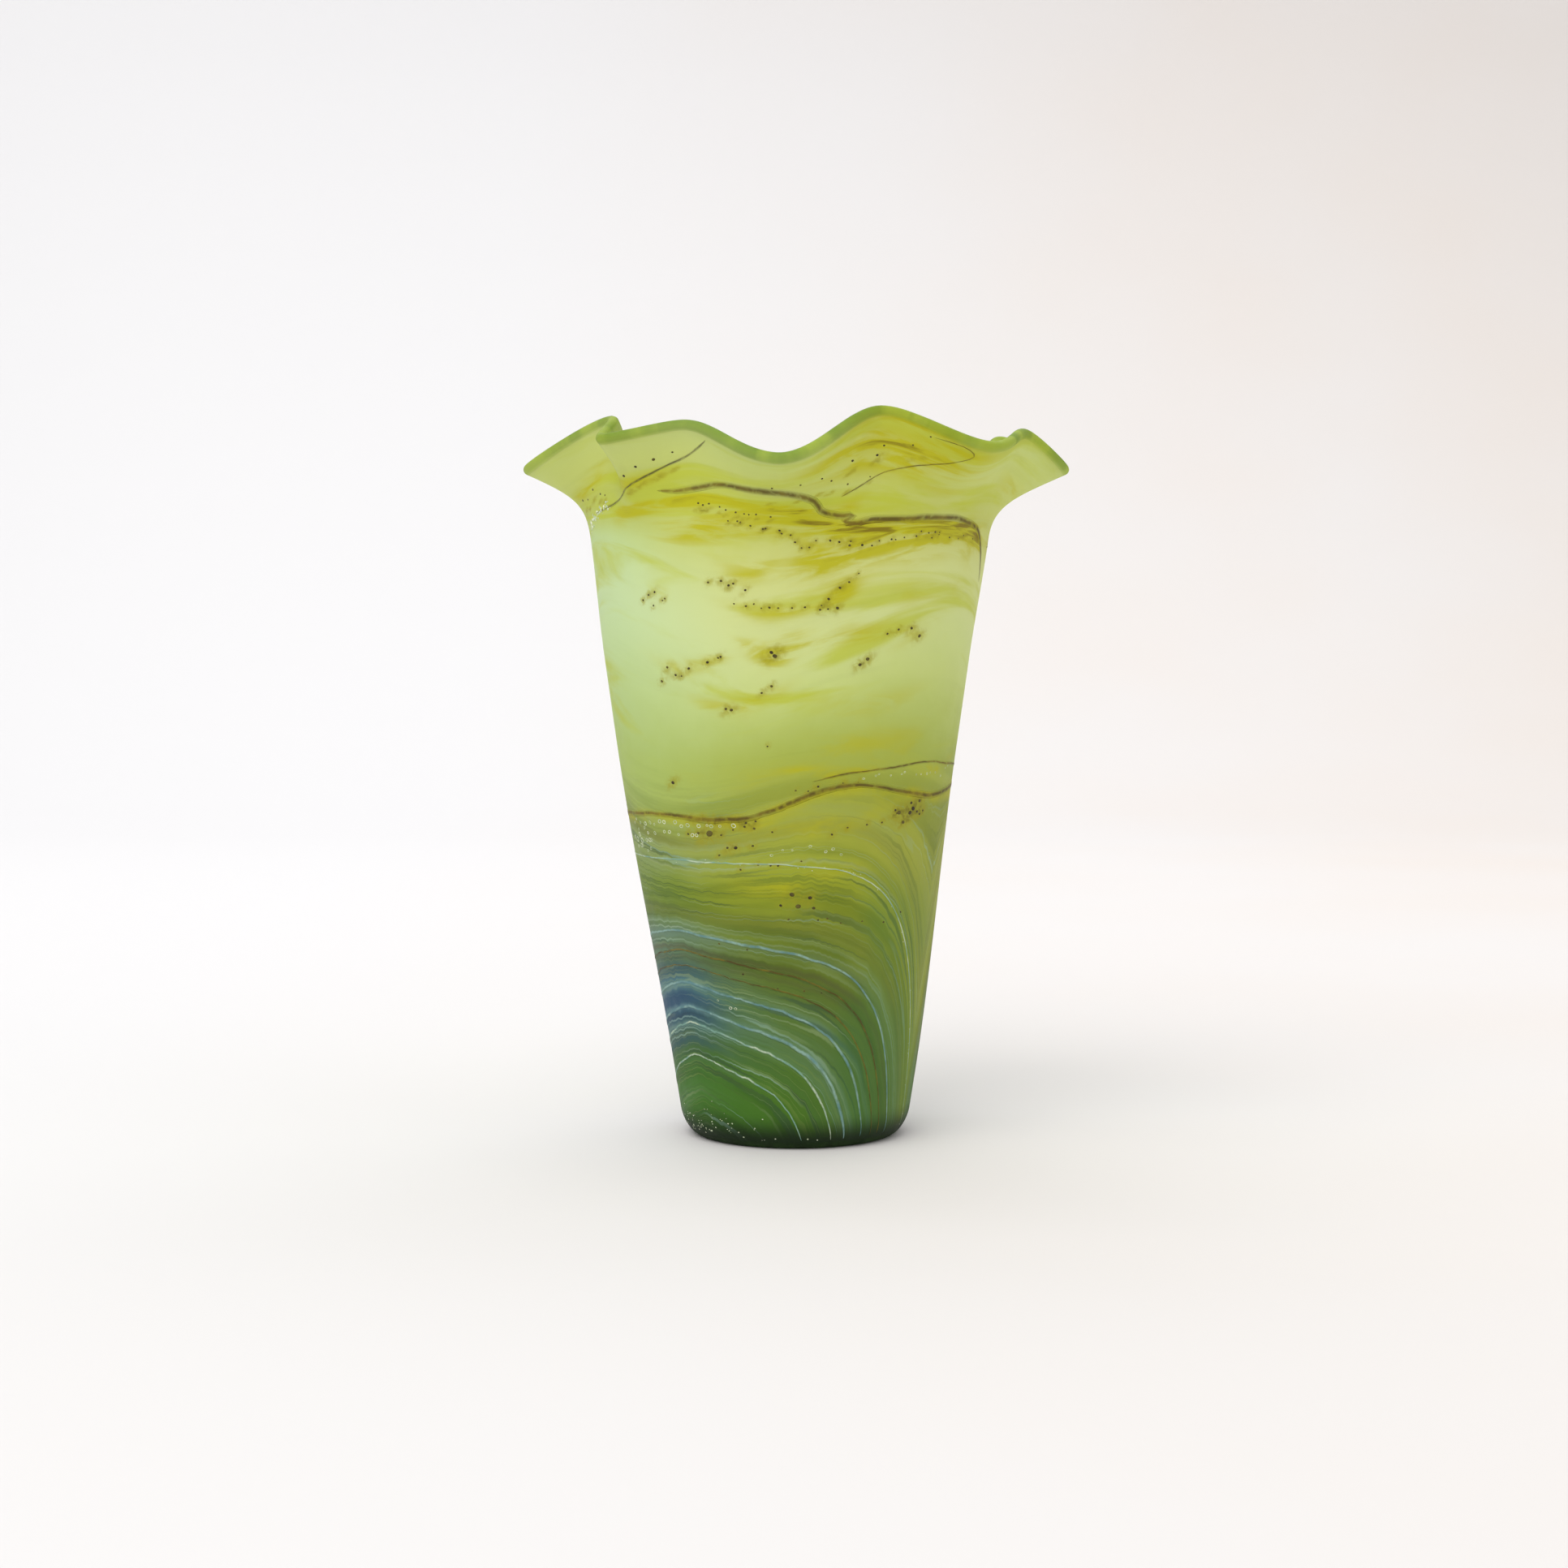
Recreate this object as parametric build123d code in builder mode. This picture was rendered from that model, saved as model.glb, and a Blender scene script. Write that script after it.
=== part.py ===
"""Hand blown art glass vase: a flared, ruffled vessel of cased and trailed glass.

Frame: millimetres, +Z up, origin on the table under the middle of the vase.
Azimuth 0 is the front (-Y) and grows towards the right (+X).

The vessel is one wall, blown from a green gather, cased with a thin marbled skin,
trailed with threads of coloured glass that were rolled almost flush, and flared into
ruffles at the mouth. The outer surface is a rule of azimuth and station: station 0
to 1 is the conical body, from the foot to the neck, and 1 to 2 is the flare, from
the neck to the lip.
"""
from build123d import *
import math
import os

os.makedirs("parts", exist_ok=True)

# Driving dimensions
WALL = 3.5                  # thickness of the whole wall
CASING = 0.9                # thickness of the marbled skin, outside the green gather
FOOT_RADIUS = 33.0          # flat disc that the vase stands on
HEEL_HEIGHT = 9.0           # height of the rounding above the foot
HEEL_EDGE = 2.6             # height where the marbled skin runs out
FLOOR_HEIGHT = 10.0         # thick glass floor
FLOOR_RADIUS = 24.0         # flat middle of the floor, inside
FLOOR_ROUND = 10.0          # height of the rounding from floor to inner wall
NECK_HEIGHT = 205.0         # where the cone ends and the flare starts
LEAN_OUT = -2.9             # sideways lean of the blown body, along X
LEAN_BACK = 0.9             # part of the lean that the neck takes back
RING_POINTS = 120           # points on each ring that the wall is lofted through
KICK_RADIUS = 20.0          # shallow hollow pushed up into the foot
KICK_DEPTH = 2.2
WAFER_RADIUS = 11.0         # glass left where the punty iron was cracked off
WAFER_THICKNESS = 1.3
THREAD_CROWN = 0.30         # how far a rolled-in thread still stands above the skin
THREAD_SEAT = 0.12          # hair of room under a thread, so that it clears the skin

# The ruffled lip: azimuth in degrees, radius and height of its crest line.
# Low, wide stations are lobes and high, narrow ones are ridges between them.
LIP = [
    (-90.0, 93.8, 227.8),
    (-58.0, 74.0, 243.7),
    (-47.0, 88.0, 236.0),
    (-28.6, 78.0, 240.4),
    (-3.5, 88.0, 227.7),
    (21.3, 78.0, 244.9),
    (45.7, 90.0, 233.1),
    (68.6, 84.0, 239.6),
    (90.0, 94.4, 227.8),
    (112.0, 80.0, 240.5),
    (135.0, 91.0, 229.0),
    (158.0, 77.0, 241.5),
    (180.0, 88.0, 228.0),
    (203.0, 78.0, 240.5),
    (225.0, 90.0, 228.5),
    (248.0, 79.0, 241.5),
    (270.0, 93.8, 227.8),
]
LOBE_SLOPE = 24.0           # slope of the flare where it ends, in degrees
RIDGE_SLOPE = 60.0
LOBE_REACH = 18.0           # length of the straight run before the lip
RIDGE_REACH = 14.0
LOBE_LIP = 228.0            # lip heights that those two pairs belong to
RIDGE_LIP = 243.0


def smooth(low, high, value):
    """Smooth step from 0 at low to 1 at high."""
    t = min(1.0, max(0.0, (value - low) / (high - low)))
    return t * t * (3 - 2 * t)


def body_radius(height):
    """Outer radius of the conical body, with its rounded heel."""
    cone = 38.3 + 0.158 * height - 0.00006 * height**2
    if height >= HEEL_HEIGHT:
        return cone
    drop = 1 - max(0.0, height) / HEEL_HEIGHT
    return FOOT_RADIUS + (cone - FOOT_RADIUS) * math.sqrt(1 - drop**2)


def lean(height):
    """Sideways offset of the body's centre line."""
    return LEAN_OUT * smooth(20, 135, height) + LEAN_BACK * smooth(165, 205, height)


def outward(azimuth):
    """Level unit vector that points away from the axis."""
    turn = math.radians(azimuth)
    return Vector(math.sin(turn), -math.cos(turn), 0)


def lip_station(azimuth):
    """Radius and height of the lip's crest line."""
    turn = (azimuth + 90) % 360 - 90
    for (a0, r0, z0), (a1, r1, z1) in zip(LIP, LIP[1:]):
        if a0 <= turn <= a1:
            share = smooth(a0, a1, turn)
            return r0 + (r1 - r0) * share, z0 + (z1 - z0) * share
    return LIP[0][1:]


def skin_point(azimuth, station):
    """Point of the outer surface: station 0 to 1 is the body, 1 to 2 the flare."""
    out = outward(azimuth)
    if station <= 1:
        height = max(0.0, station) * NECK_HEIGHT
        return out * body_radius(height) + Vector(lean(height), 0, height)
    radius, height = lip_station(azimuth)
    ridge = min(1.0, max(0.0, (height - LOBE_LIP) / (RIDGE_LIP - LOBE_LIP)))
    slope = math.radians(LOBE_SLOPE + (RIDGE_SLOPE - LOBE_SLOPE) * ridge)
    reach = LOBE_REACH + (RIDGE_REACH - LOBE_REACH) * ridge
    run = out * math.cos(slope) + Vector(0, 0, math.sin(slope))
    start = skin_point(azimuth, 1)
    end = out * radius + Vector(0, 0, height) - run * (WALL / 2)
    rise = out * 0.14 + Vector(0, 0, 1)
    t = station - 1
    return (
        start * (1 - t) ** 3
        + (start + rise * 12.0) * (3 * t * (1 - t) ** 2)
        + (end - run * reach) * (3 * t**2 * (1 - t))
        + end * t**3
    )


def skin_frame(azimuth, station):
    """Outward normal, upward run and point of the outer surface."""
    step_up = 0.004
    step_round = 0.4
    low, high = max(0.0, station - step_up), min(2.0, station + step_up)
    up = skin_point(azimuth, high) - skin_point(azimuth, low)
    ring = skin_point(azimuth + step_round, station) - skin_point(azimuth - step_round, station)
    normal = ring.cross(up).normalized()
    return normal, normal.cross(ring).normalized(), skin_point(azimuth, station)


def closed_ring(place):
    """Closed spline through one point for each azimuth."""
    points = [place(i * 360 / RING_POINTS) for i in range(RING_POINTS)]
    return Wire([Edge.make_spline(points, periodic=True)])


def depth_ring(station, depth, past=0.0):
    """Ring at a depth under the outer surface, and past it along the upward run."""

    def place(azimuth):
        normal, up, point = skin_frame(azimuth, station)
        return point - normal * depth + up * past

    return closed_ring(place)


def level_ring(radius, height):
    """Round, level ring, shifted with the body's lean."""
    return closed_ring(lambda azimuth: outward(azimuth) * radius + Vector(lean(height), 0, height))


def inner_radius(height):
    """Inner radius near the floor, rounded into it."""
    side = body_radius(height) - WALL
    drop = 1 - (height - FLOOR_HEIGHT) / FLOOR_ROUND
    return FLOOR_RADIUS + (side - FLOOR_RADIUS) * math.sqrt(max(0.0, 1 - drop**2))


# The rings aren't planar, so the faces through them are lofted outside a builder. The
# marbled casing and the green gather share one face, where the two glasses are fused.
cone_heights = [5, 9, 14, 22, 34, 55, 85, 115, 145, 172, 190, 200]
flare_stations = [1, 1.08, 1.2, 1.35, 1.5, 1.65, 1.8, 1.9]
lip_angles = [0, 30, 60, 90, 120, 150, 180]
inner_heights = [200, 190, 165, 130, 95, 65, 42, 28, 20, 15.5, 12.5, 10.7]

foot_ring = level_ring(FOOT_RADIUS, 0)
edge_ring = level_ring(body_radius(HEEL_EDGE), HEEL_EDGE)
lip_ring = depth_ring(2, 0)
neck_ring = depth_ring(1, WALL)
floor_ring = level_ring(FLOOR_RADIUS, FLOOR_HEIGHT)

heel_rings = [foot_ring]
for z in [0.6, 1.5]:
    heel_rings.append(level_ring(body_radius(z), z))
heel_rings.append(edge_ring)

skin_rings = [edge_ring]
for z in cone_heights:
    skin_rings.append(level_ring(body_radius(z), z))
for station in flare_stations:
    skin_rings.append(depth_ring(station, 0))
skin_rings.append(lip_ring)

fused_rings = [edge_ring]
for z in cone_heights:
    depth = CASING * smooth(HEEL_EDGE, HEEL_HEIGHT, z)
    fused_rings.append(level_ring(body_radius(z) - depth, z))
for station in flare_stations:
    fused_rings.append(depth_ring(station, CASING))
fused_rings.append(depth_ring(1.97, CASING * 0.6))
fused_rings.append(lip_ring)

flare_rings = []
for angle in lip_angles:
    turn = math.radians(angle)
    across = WALL / 2 * (1 - math.cos(turn))
    flare_rings.append(depth_ring(2, across, WALL / 2 * math.sin(turn)))
for station in reversed(flare_stations):
    flare_rings.append(depth_ring(station, WALL))

inner_rings = [neck_ring]
for z in inner_heights:
    radius = inner_radius(z) if z < FLOOR_HEIGHT + FLOOR_ROUND else body_radius(z) - WALL
    inner_rings.append(level_ring(radius, z))
inner_rings.append(floor_ring)

heel_face = Shell.make_loft(heel_rings)
skin_face = Shell.make_loft(skin_rings)
fused_face = Shell.make_loft(fused_rings)
flare_face = Shell.make_loft(flare_rings)
inner_face = Shell.make_loft(inner_rings)
foot_face = Face(foot_ring)
floor_face = Face(floor_ring)


def closed_solid(*pieces):
    """Solid bounded by the faces of these pieces."""
    return Solid(Shell([face for piece in pieces for face in piece.faces()]))


gather_blank = closed_solid(foot_face, heel_face, fused_face, flare_face, inner_face, floor_face)
casing_blank = closed_solid(skin_face, fused_face)

# Trails: threads of coloured glass, laid on the hot casing and rolled almost flush.
# The low ones were dragged into arches, nested round one crest on the front left.
CREST_AZIMUTH = -50.0
ARCH_SECTIONS = 70
ARCHES = {                  # name: height of the crest, width of the thread
    "white_arch_inner": (31.0, 1.0),
    "white_arch_low": (42.0, 1.2),
    "blue_arch_low": (47.6, 1.5),
    "blue_arch_middle": (56.0, 1.6),
    "olive_arch": (62.0, 1.0),
    "brown_arch": (67.0, 1.0),
    "pale_blue_arch": (73.5, 1.8),
    "white_arch_outer": (98.0, 0.8),
}
BANDS = {                   # name: width, then azimuth and height along the thread
    "brown_belt": (
        1.5,
        [(-150, 106), (-120, 109), (-90, 111), (-50, 113), (-26, 112), (-10, 114),
         (2, 118.5), (14, 122.5), (26, 123.5), (42, 121), (60, 119), (85, 121), (110, 119)],
    ),
    "hairline_belt": (
        0.7,
        [(8, 125), (20, 127.6), (36, 129), (53, 130.5), (72, 129), (95, 128), (120, 131), (145, 130)],
    ),
    "shoulder_trail": (
        1.5,
        [(-38, 219.5), (-31, 219.4), (-20, 221), (-10, 219), (0, 217.5), (7, 214),
         (14, 209.5), (22, 209.5), (34, 210.4), (46, 211.2), (58, 210), (66, 207.5),
         (71, 202), (74, 196), (76, 190)],
    ),
    "left_stringer": (
        0.9,
        [(-71, 213), (-62, 215), (-54, 217.6), (-44, 222.3), (-36, 226.5), (-28, 231), (-22, 235)],
    ),
    "right_hairline": (
        0.6,
        [(13, 217), (18, 220.5), (24, 225), (31, 227), (39, 228), (42.5, 230), (39, 233), (33, 236)],
    ),
}


def arch_route(crest):
    """Azimuth and height along an arch: long shoulders that turn down into steep legs."""
    half_span = 2.0 + 1.9 * crest - 0.0073 * crest**2
    sag = max(0.0, 0.63 - 0.0063 * crest)
    route = []
    for i in range(ARCH_SECTIONS + 1):
        side = math.sin(math.pi * (i / ARCH_SECTIONS - 0.5))
        run = abs(side)
        tilt = sag if side > 0 else 1.3 * sag
        height = crest * (1 - tilt * run) * (1 - run**6) ** 0.77
        if height > HEEL_EDGE + 4:
            route.append((CREST_AZIMUTH + side * half_span, height))
    return route


def band_route(knots, cuts=7):
    """Smooth route through hand-set knots, with a few cuts in each span."""
    ends = [knots[0]] + knots + [knots[-1]]
    route = []
    for before, start, end, after in zip(ends, ends[1:], ends[2:], ends[3:]):
        for i in range(cuts):
            t = i / cuts
            place = []
            for p0, p1, p2, p3 in zip(before, start, end, after):
                bend = (2 * p0 - 5 * p1 + 4 * p2 - p3) * t**2 + (3 * p1 - p0 - 3 * p2 + p3) * t**3
                place.append(0.5 * (2 * p1 + (p2 - p0) * t + bend))
            route.append(tuple(place))
    return route + [knots[-1]]


def station_at(azimuth, height):
    """Station of the outer surface at a height, found by halving."""
    if height <= NECK_HEIGHT:
        return height / NECK_HEIGHT
    low, high = 1.0, 2.0
    for _ in range(20):
        middle = (low + high) / 2
        if skin_point(azimuth, middle).Z < height:
            low = middle
        else:
            high = middle
    return low


def thread_planes(route):
    """Planes across a thread, each with X along the surface and Y out of it."""
    frames = [skin_frame(azimuth, station_at(azimuth, height)) for azimuth, height in route]
    planes = []
    for i, (normal, _, point) in enumerate(frames):
        before = frames[max(0, i - 1)][2]
        after = frames[min(len(frames) - 1, i + 1)][2]
        along = (after - before).normalized()
        planes.append(Plane(origin=point, x_dir=normal.cross(along), z_dir=along))
    return planes


def thread_outline(width):
    """Section of a thread that was rolled flat: a low crown with bevelled flanks."""
    side, flat = width / 2, width / 4
    return [(-side, THREAD_SEAT), (side, THREAD_SEAT), (flat, THREAD_CROWN), (-flat, THREAD_CROWN)]


routes = {name: (width, arch_route(crest)) for name, (crest, width) in ARCHES.items()}
routes |= {name: (width, band_route(knots)) for name, (width, knots) in BANDS.items()}

for name, (width, route) in routes.items():
    with BuildPart() as trail:
        for plane in thread_planes(route):
            with BuildSketch(plane):
                Polygon(*thread_outline(width), align=None)
        loft()
    trail.part.label = name
    export_step(trail.part, f"parts/{name}.step")

# Outer casing: the thin marbled skin, from just above the foot to the lip's outer corner.
with BuildPart() as outer_casing:
    add(casing_blank)
outer_casing.part.label = "outer_casing"
export_step(outer_casing.part, "parts/outer_casing.step")

# Pontil wafer: the disc of glass that is left in the hollow of the foot.
# The hollow is a cap of a sphere, and the wafer's top lies against it.
sphere_radius = (KICK_RADIUS**2 + KICK_DEPTH**2) / (2 * KICK_DEPTH)
wafer_rim = KICK_DEPTH - sphere_radius + math.sqrt(sphere_radius**2 - WAFER_RADIUS**2)
wafer_low = KICK_DEPTH - WAFER_THICKNESS
wafer_flat = WAFER_RADIUS - 2.5

with BuildPart() as hollow:
    with BuildSketch(Plane.XZ):
        with BuildLine():
            RadiusArc((0, KICK_DEPTH), (KICK_RADIUS, 0), sphere_radius)
            Line((KICK_RADIUS, 0), (KICK_RADIUS, -1))
            Line((KICK_RADIUS, -1), (0, -1))
            Line((0, -1), (0, KICK_DEPTH))
        make_face()
    revolve(axis=Axis.Z)

with BuildPart() as pontil_wafer:
    with BuildSketch(Plane.XZ):
        with BuildLine():
            RadiusArc((0, KICK_DEPTH), (WAFER_RADIUS, wafer_rim), sphere_radius)
            Line((WAFER_RADIUS, wafer_rim), (wafer_flat, wafer_low))
            Line((wafer_flat, wafer_low), (0, wafer_low))
            Line((0, wafer_low), (0, KICK_DEPTH))
        make_face()
    revolve(axis=Axis.Z)
pontil_wafer.part.label = "pontil_wafer"
export_step(pontil_wafer.part, "parts/pontil_wafer.step")

# Inner gather: the green glass of the inner wall, the floor, the foot and the lip.
with BuildPart() as inner_gather:
    add(gather_blank)
    add(hollow.part, mode=Mode.SUBTRACT)
inner_gather.part.label = "inner_gather"
export_step(inner_gather.part, "parts/inner_gather.step")
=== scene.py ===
"""Hand blown art glass vase: cased, marbled, trailed with coloured threads and ruffled at the mouth."""
import math

import bmesh
import bpy
import numpy as np
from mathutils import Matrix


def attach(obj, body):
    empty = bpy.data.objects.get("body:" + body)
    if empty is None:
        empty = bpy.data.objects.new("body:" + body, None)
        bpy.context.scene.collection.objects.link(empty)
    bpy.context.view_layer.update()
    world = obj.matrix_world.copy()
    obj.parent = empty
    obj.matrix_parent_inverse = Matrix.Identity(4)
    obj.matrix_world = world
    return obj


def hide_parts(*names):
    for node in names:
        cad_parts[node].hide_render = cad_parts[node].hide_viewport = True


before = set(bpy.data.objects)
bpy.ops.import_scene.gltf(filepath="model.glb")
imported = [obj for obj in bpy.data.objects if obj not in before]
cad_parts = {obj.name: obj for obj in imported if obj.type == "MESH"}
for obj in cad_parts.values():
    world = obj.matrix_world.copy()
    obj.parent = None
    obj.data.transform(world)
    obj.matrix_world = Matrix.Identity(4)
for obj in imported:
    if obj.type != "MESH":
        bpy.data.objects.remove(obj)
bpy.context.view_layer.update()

# ---------------------------------------------------------------------------
# The stand and the camera: a sheet of warm white paper, rolled up behind the vase,
# soft daylight from the left, and a camera a little below the level of the lip.
MM = 0.001
EYE = (-3.9 * MM, -1.0, 183 * MM)
EYE_TILT = 3.56             # degrees down
LENS = 66.6
SENSOR = 36.0
PAPER_HALF_WIDTH = 3.0
PAPER_FRONT = -2.0
PAPER_BEND_START = 1.3
PAPER_BEND_RADIUS = 0.9
PAPER_BEND_STEPS = 12
PAPER_TOP = 2.6
ROOM_LIGHT = 0.76
SOFTBOXES = [               # name, place, the point that it faces, size in metres, watts, tint
    ("window_left", (-0.8, -1.5, 2.2), (0.0, 0.0, 0.12), (2.2, 2.2), 41.0, "fffcf8"),
    ("fill_right", (1.9, -1.0, 0.9), (0.0, 0.0, 0.12), (1.4, 1.4), 3.0, "fff6ec"),
    ("back_glow", (0.2, 1.3, 1.6), (0.0, 0.2, 0.2), (3.0, 1.2), 13.0, "ffffff"),
    ("backdrop_wash", (-0.6, 0.6, 2.2), (-0.2, 2.2, 1.0), (1.6, 0.8), 9.5, "fbfcff"),
]

MATH = "ShaderNodeMath"
VECTOR = "ShaderNodeVectorMath"
RANGE = "ShaderNodeMapRange"
MIX = "ShaderNodeMix"
NOISE = "ShaderNodeTexNoise"
STORED = "ShaderNodeAttribute"
EASED = {"interpolation_type": "SMOOTHSTEP"}
COLOURS = {"data_type": "RGBA", "give": 2}
POINTS = {"data_type": "VECTOR", "give": 1}

scene = bpy.context.scene
scene.view_settings.view_transform = "Standard"

camera_data = bpy.data.cameras.new("camera")
camera_data.lens = LENS
camera_data.sensor_width = SENSOR
camera = bpy.data.objects.new("camera", camera_data)
camera.location = EYE
camera.rotation_euler = (math.radians(90 - EYE_TILT), 0, 0)
scene.collection.objects.link(camera)
scene.camera = camera


def linear(code):
    """Linear colour of an sRGB hex code."""
    values = [int(code[i:i + 2], 16) / 255 for i in (0, 2, 4)]
    return [v / 12.92 if v <= 0.04045 else ((v + 0.055) / 1.055) ** 2.4 for v in values] + [1.0]


def add_node(tree, kind, links=None, give=0, **settings):
    """Add a node with its settings, its values and its links, and give one of its outputs."""
    new = tree.nodes.new(kind)
    for name, value in settings.items():
        setattr(new, name, value)
    for socket, value in (links or {}).items():
        if isinstance(value, bpy.types.NodeSocket):
            tree.links.new(value, new.inputs[socket])
        else:
            new.inputs[socket].default_value = value
    return new.outputs[give] if new.outputs else None


def new_material(name):
    """Empty material and its node tree."""
    material = bpy.data.materials.new(name)
    material.use_nodes = True
    material.node_tree.nodes.clear()
    return material, material.node_tree


def make_paper():
    """Studio paper: flat under the vase and bent up behind it."""
    profile = [(PAPER_FRONT, 0.0), (0.0, 0.0), (PAPER_BEND_START, 0.0)]
    for i in range(1, PAPER_BEND_STEPS + 1):
        turn = math.pi / 2 * i / PAPER_BEND_STEPS
        y = PAPER_BEND_START + PAPER_BEND_RADIUS * math.sin(turn)
        profile.append((y, PAPER_BEND_RADIUS * (1 - math.cos(turn))))
    profile.append((PAPER_BEND_START + PAPER_BEND_RADIUS, PAPER_TOP))
    points = [(side * PAPER_HALF_WIDTH, y, z) for side in (-1, 1) for y, z in profile]
    count = len(profile)
    faces = [(i, i + count, i + count + 1, i + 1) for i in range(count - 1)]
    mesh = bpy.data.meshes.new("studio_paper")
    mesh.from_pydata(points, [], faces)
    mesh.shade_smooth()
    paper = bpy.data.objects.new("studio_paper", mesh)
    scene.collection.objects.link(paper)
    # Matt white paper: no gloss, with painted shade: a faint warm, darker cast that drifts in from left to
    # right, in mottled patches
    material, tree = new_material("matt studio paper")
    place = add_node(tree, "ShaderNodeTexCoord", give="Object")
    across = add_node(tree, "ShaderNodeSeparateXYZ", {0: place})
    # Painted shade: the paper turns darker and warmer towards the right
    shade_drift = add_node(tree, RANGE, {0: across, 1: -0.3, 2: 0.5})
    mottle = add_node(tree, NOISE, {"Vector": place, "Scale": 3.0, "Detail": 2.0})
    share = add_node(tree, MATH, {0: shade_drift, 1: mottle}, operation="MULTIPLY")
    tint = add_node(tree, MIX, {0: share, 6: linear("dddddf"), 7: linear("ddd5cf")}, **COLOURS)
    matt = add_node(tree, "ShaderNodeBsdfPrincipled", {
        "Base Color": tint, "Roughness": 0.9, "Specular IOR Level": 0.1})
    add_node(tree, "ShaderNodeOutputMaterial", {0: matt})
    mesh.materials.append(material)


make_paper()

for name, place, aim, size, watts, tint in SOFTBOXES:
    light = bpy.data.lights.new(name, "AREA")
    light.shape = "RECTANGLE"
    light.size, light.size_y = size
    light.energy = watts
    light.color = linear(tint)[:3]
    lamp = bpy.data.objects.new(name, light)
    lamp.location = place
    x, y, z = (aim[i] - place[i] for i in range(3))
    lamp.rotation_euler = (math.atan2(math.hypot(x, y), -z), 0, math.atan2(y, x) - math.pi / 2)
    scene.collection.objects.link(lamp)

world = bpy.data.worlds.new("white room")
world.use_nodes = True
world.node_tree.nodes["Background"].inputs[0].default_value = linear("fdfcfa")
world.node_tree.nodes["Background"].inputs[1].default_value = ROOM_LIGHT
scene.world = world

# ---------------------------------------------------------------------------
# The shape that every piece shares: the outer skin of the vessel, as a rule of azimuth
# and station. Station 0 to 1 is the cone from foot to neck, 1 to 2 the flare up to the
# lip. Hot glass is drawn on flat blanks, and one node tree lays them on that skin.
WALL = 3.5
CASING = 0.9
FOOT_RADIUS = 33.0
HEEL_HEIGHT = 9.0
HEEL_EDGE = 2.6             # height at which the casing starts
CONE_RADIUS = 38.3          # the cone's radius if it ran down to the table
CONE_TAPER = 0.158          # how much wider it gets for each mm up
CONE_EASE = 0.00006         # and how slowly that fades
NECK_HEIGHT = 205.0
LEAN = 2.9                  # how far the middle of the body leans to the left
LEAN_BACK = 0.9             # and how much of that the neck takes back
FLARE_START = 12.0          # mm up, the first pull of the flare's curve
FLARE_ASIDE = 0.14          # and how far it goes outwards for each mm up
LOBE_TIP, RIDGE_TIP = 228.0, 243.0      # heights of a low and a high stretch of lip
LOBE_SLOPE, RIDGE_SLOPE = 24.0, 60.0    # how steeply the flare ends there, in degrees
LOBE_PULL, RIDGE_PULL = 18.0, 14.0      # and the last pull of its curve
ROUND_STEP = 0.4            # degrees, and
UP_STEP = 0.004             # share of a station, over which the lie of the skin is felt
WELD = 0.002                # corners closer than this are one
CRISP_ANGLE = 40.0          # degrees: where casing and gather meet, their edges stay crisp
LIP = [                     # azimuth, radius and height of the lip's crest, lobes and ridges in turn
    (-90.0, 93.8, 227.8), (-58.0, 74.0, 243.7), (-47.0, 88.0, 236.0), (-28.6, 78.0, 240.4),
    (-3.5, 88.0, 227.7), (21.3, 78.0, 244.9), (45.7, 90.0, 233.1), (68.6, 84.0, 239.6),
    (90.0, 94.4, 227.8), (112.0, 80.0, 240.5), (135.0, 91.0, 229.0), (158.0, 77.0, 241.5),
    (180.0, 88.0, 228.0), (203.0, 78.0, 240.5), (225.0, 90.0, 228.5), (248.0, 79.0, 241.5),
    (270.0, 93.8, 227.8),
]
SKIN_SIZES = {
    "Neck height": NECK_HEIGHT, "Foot radius": FOOT_RADIUS, "Heel height": HEEL_HEIGHT, "Wall": WALL}


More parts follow.
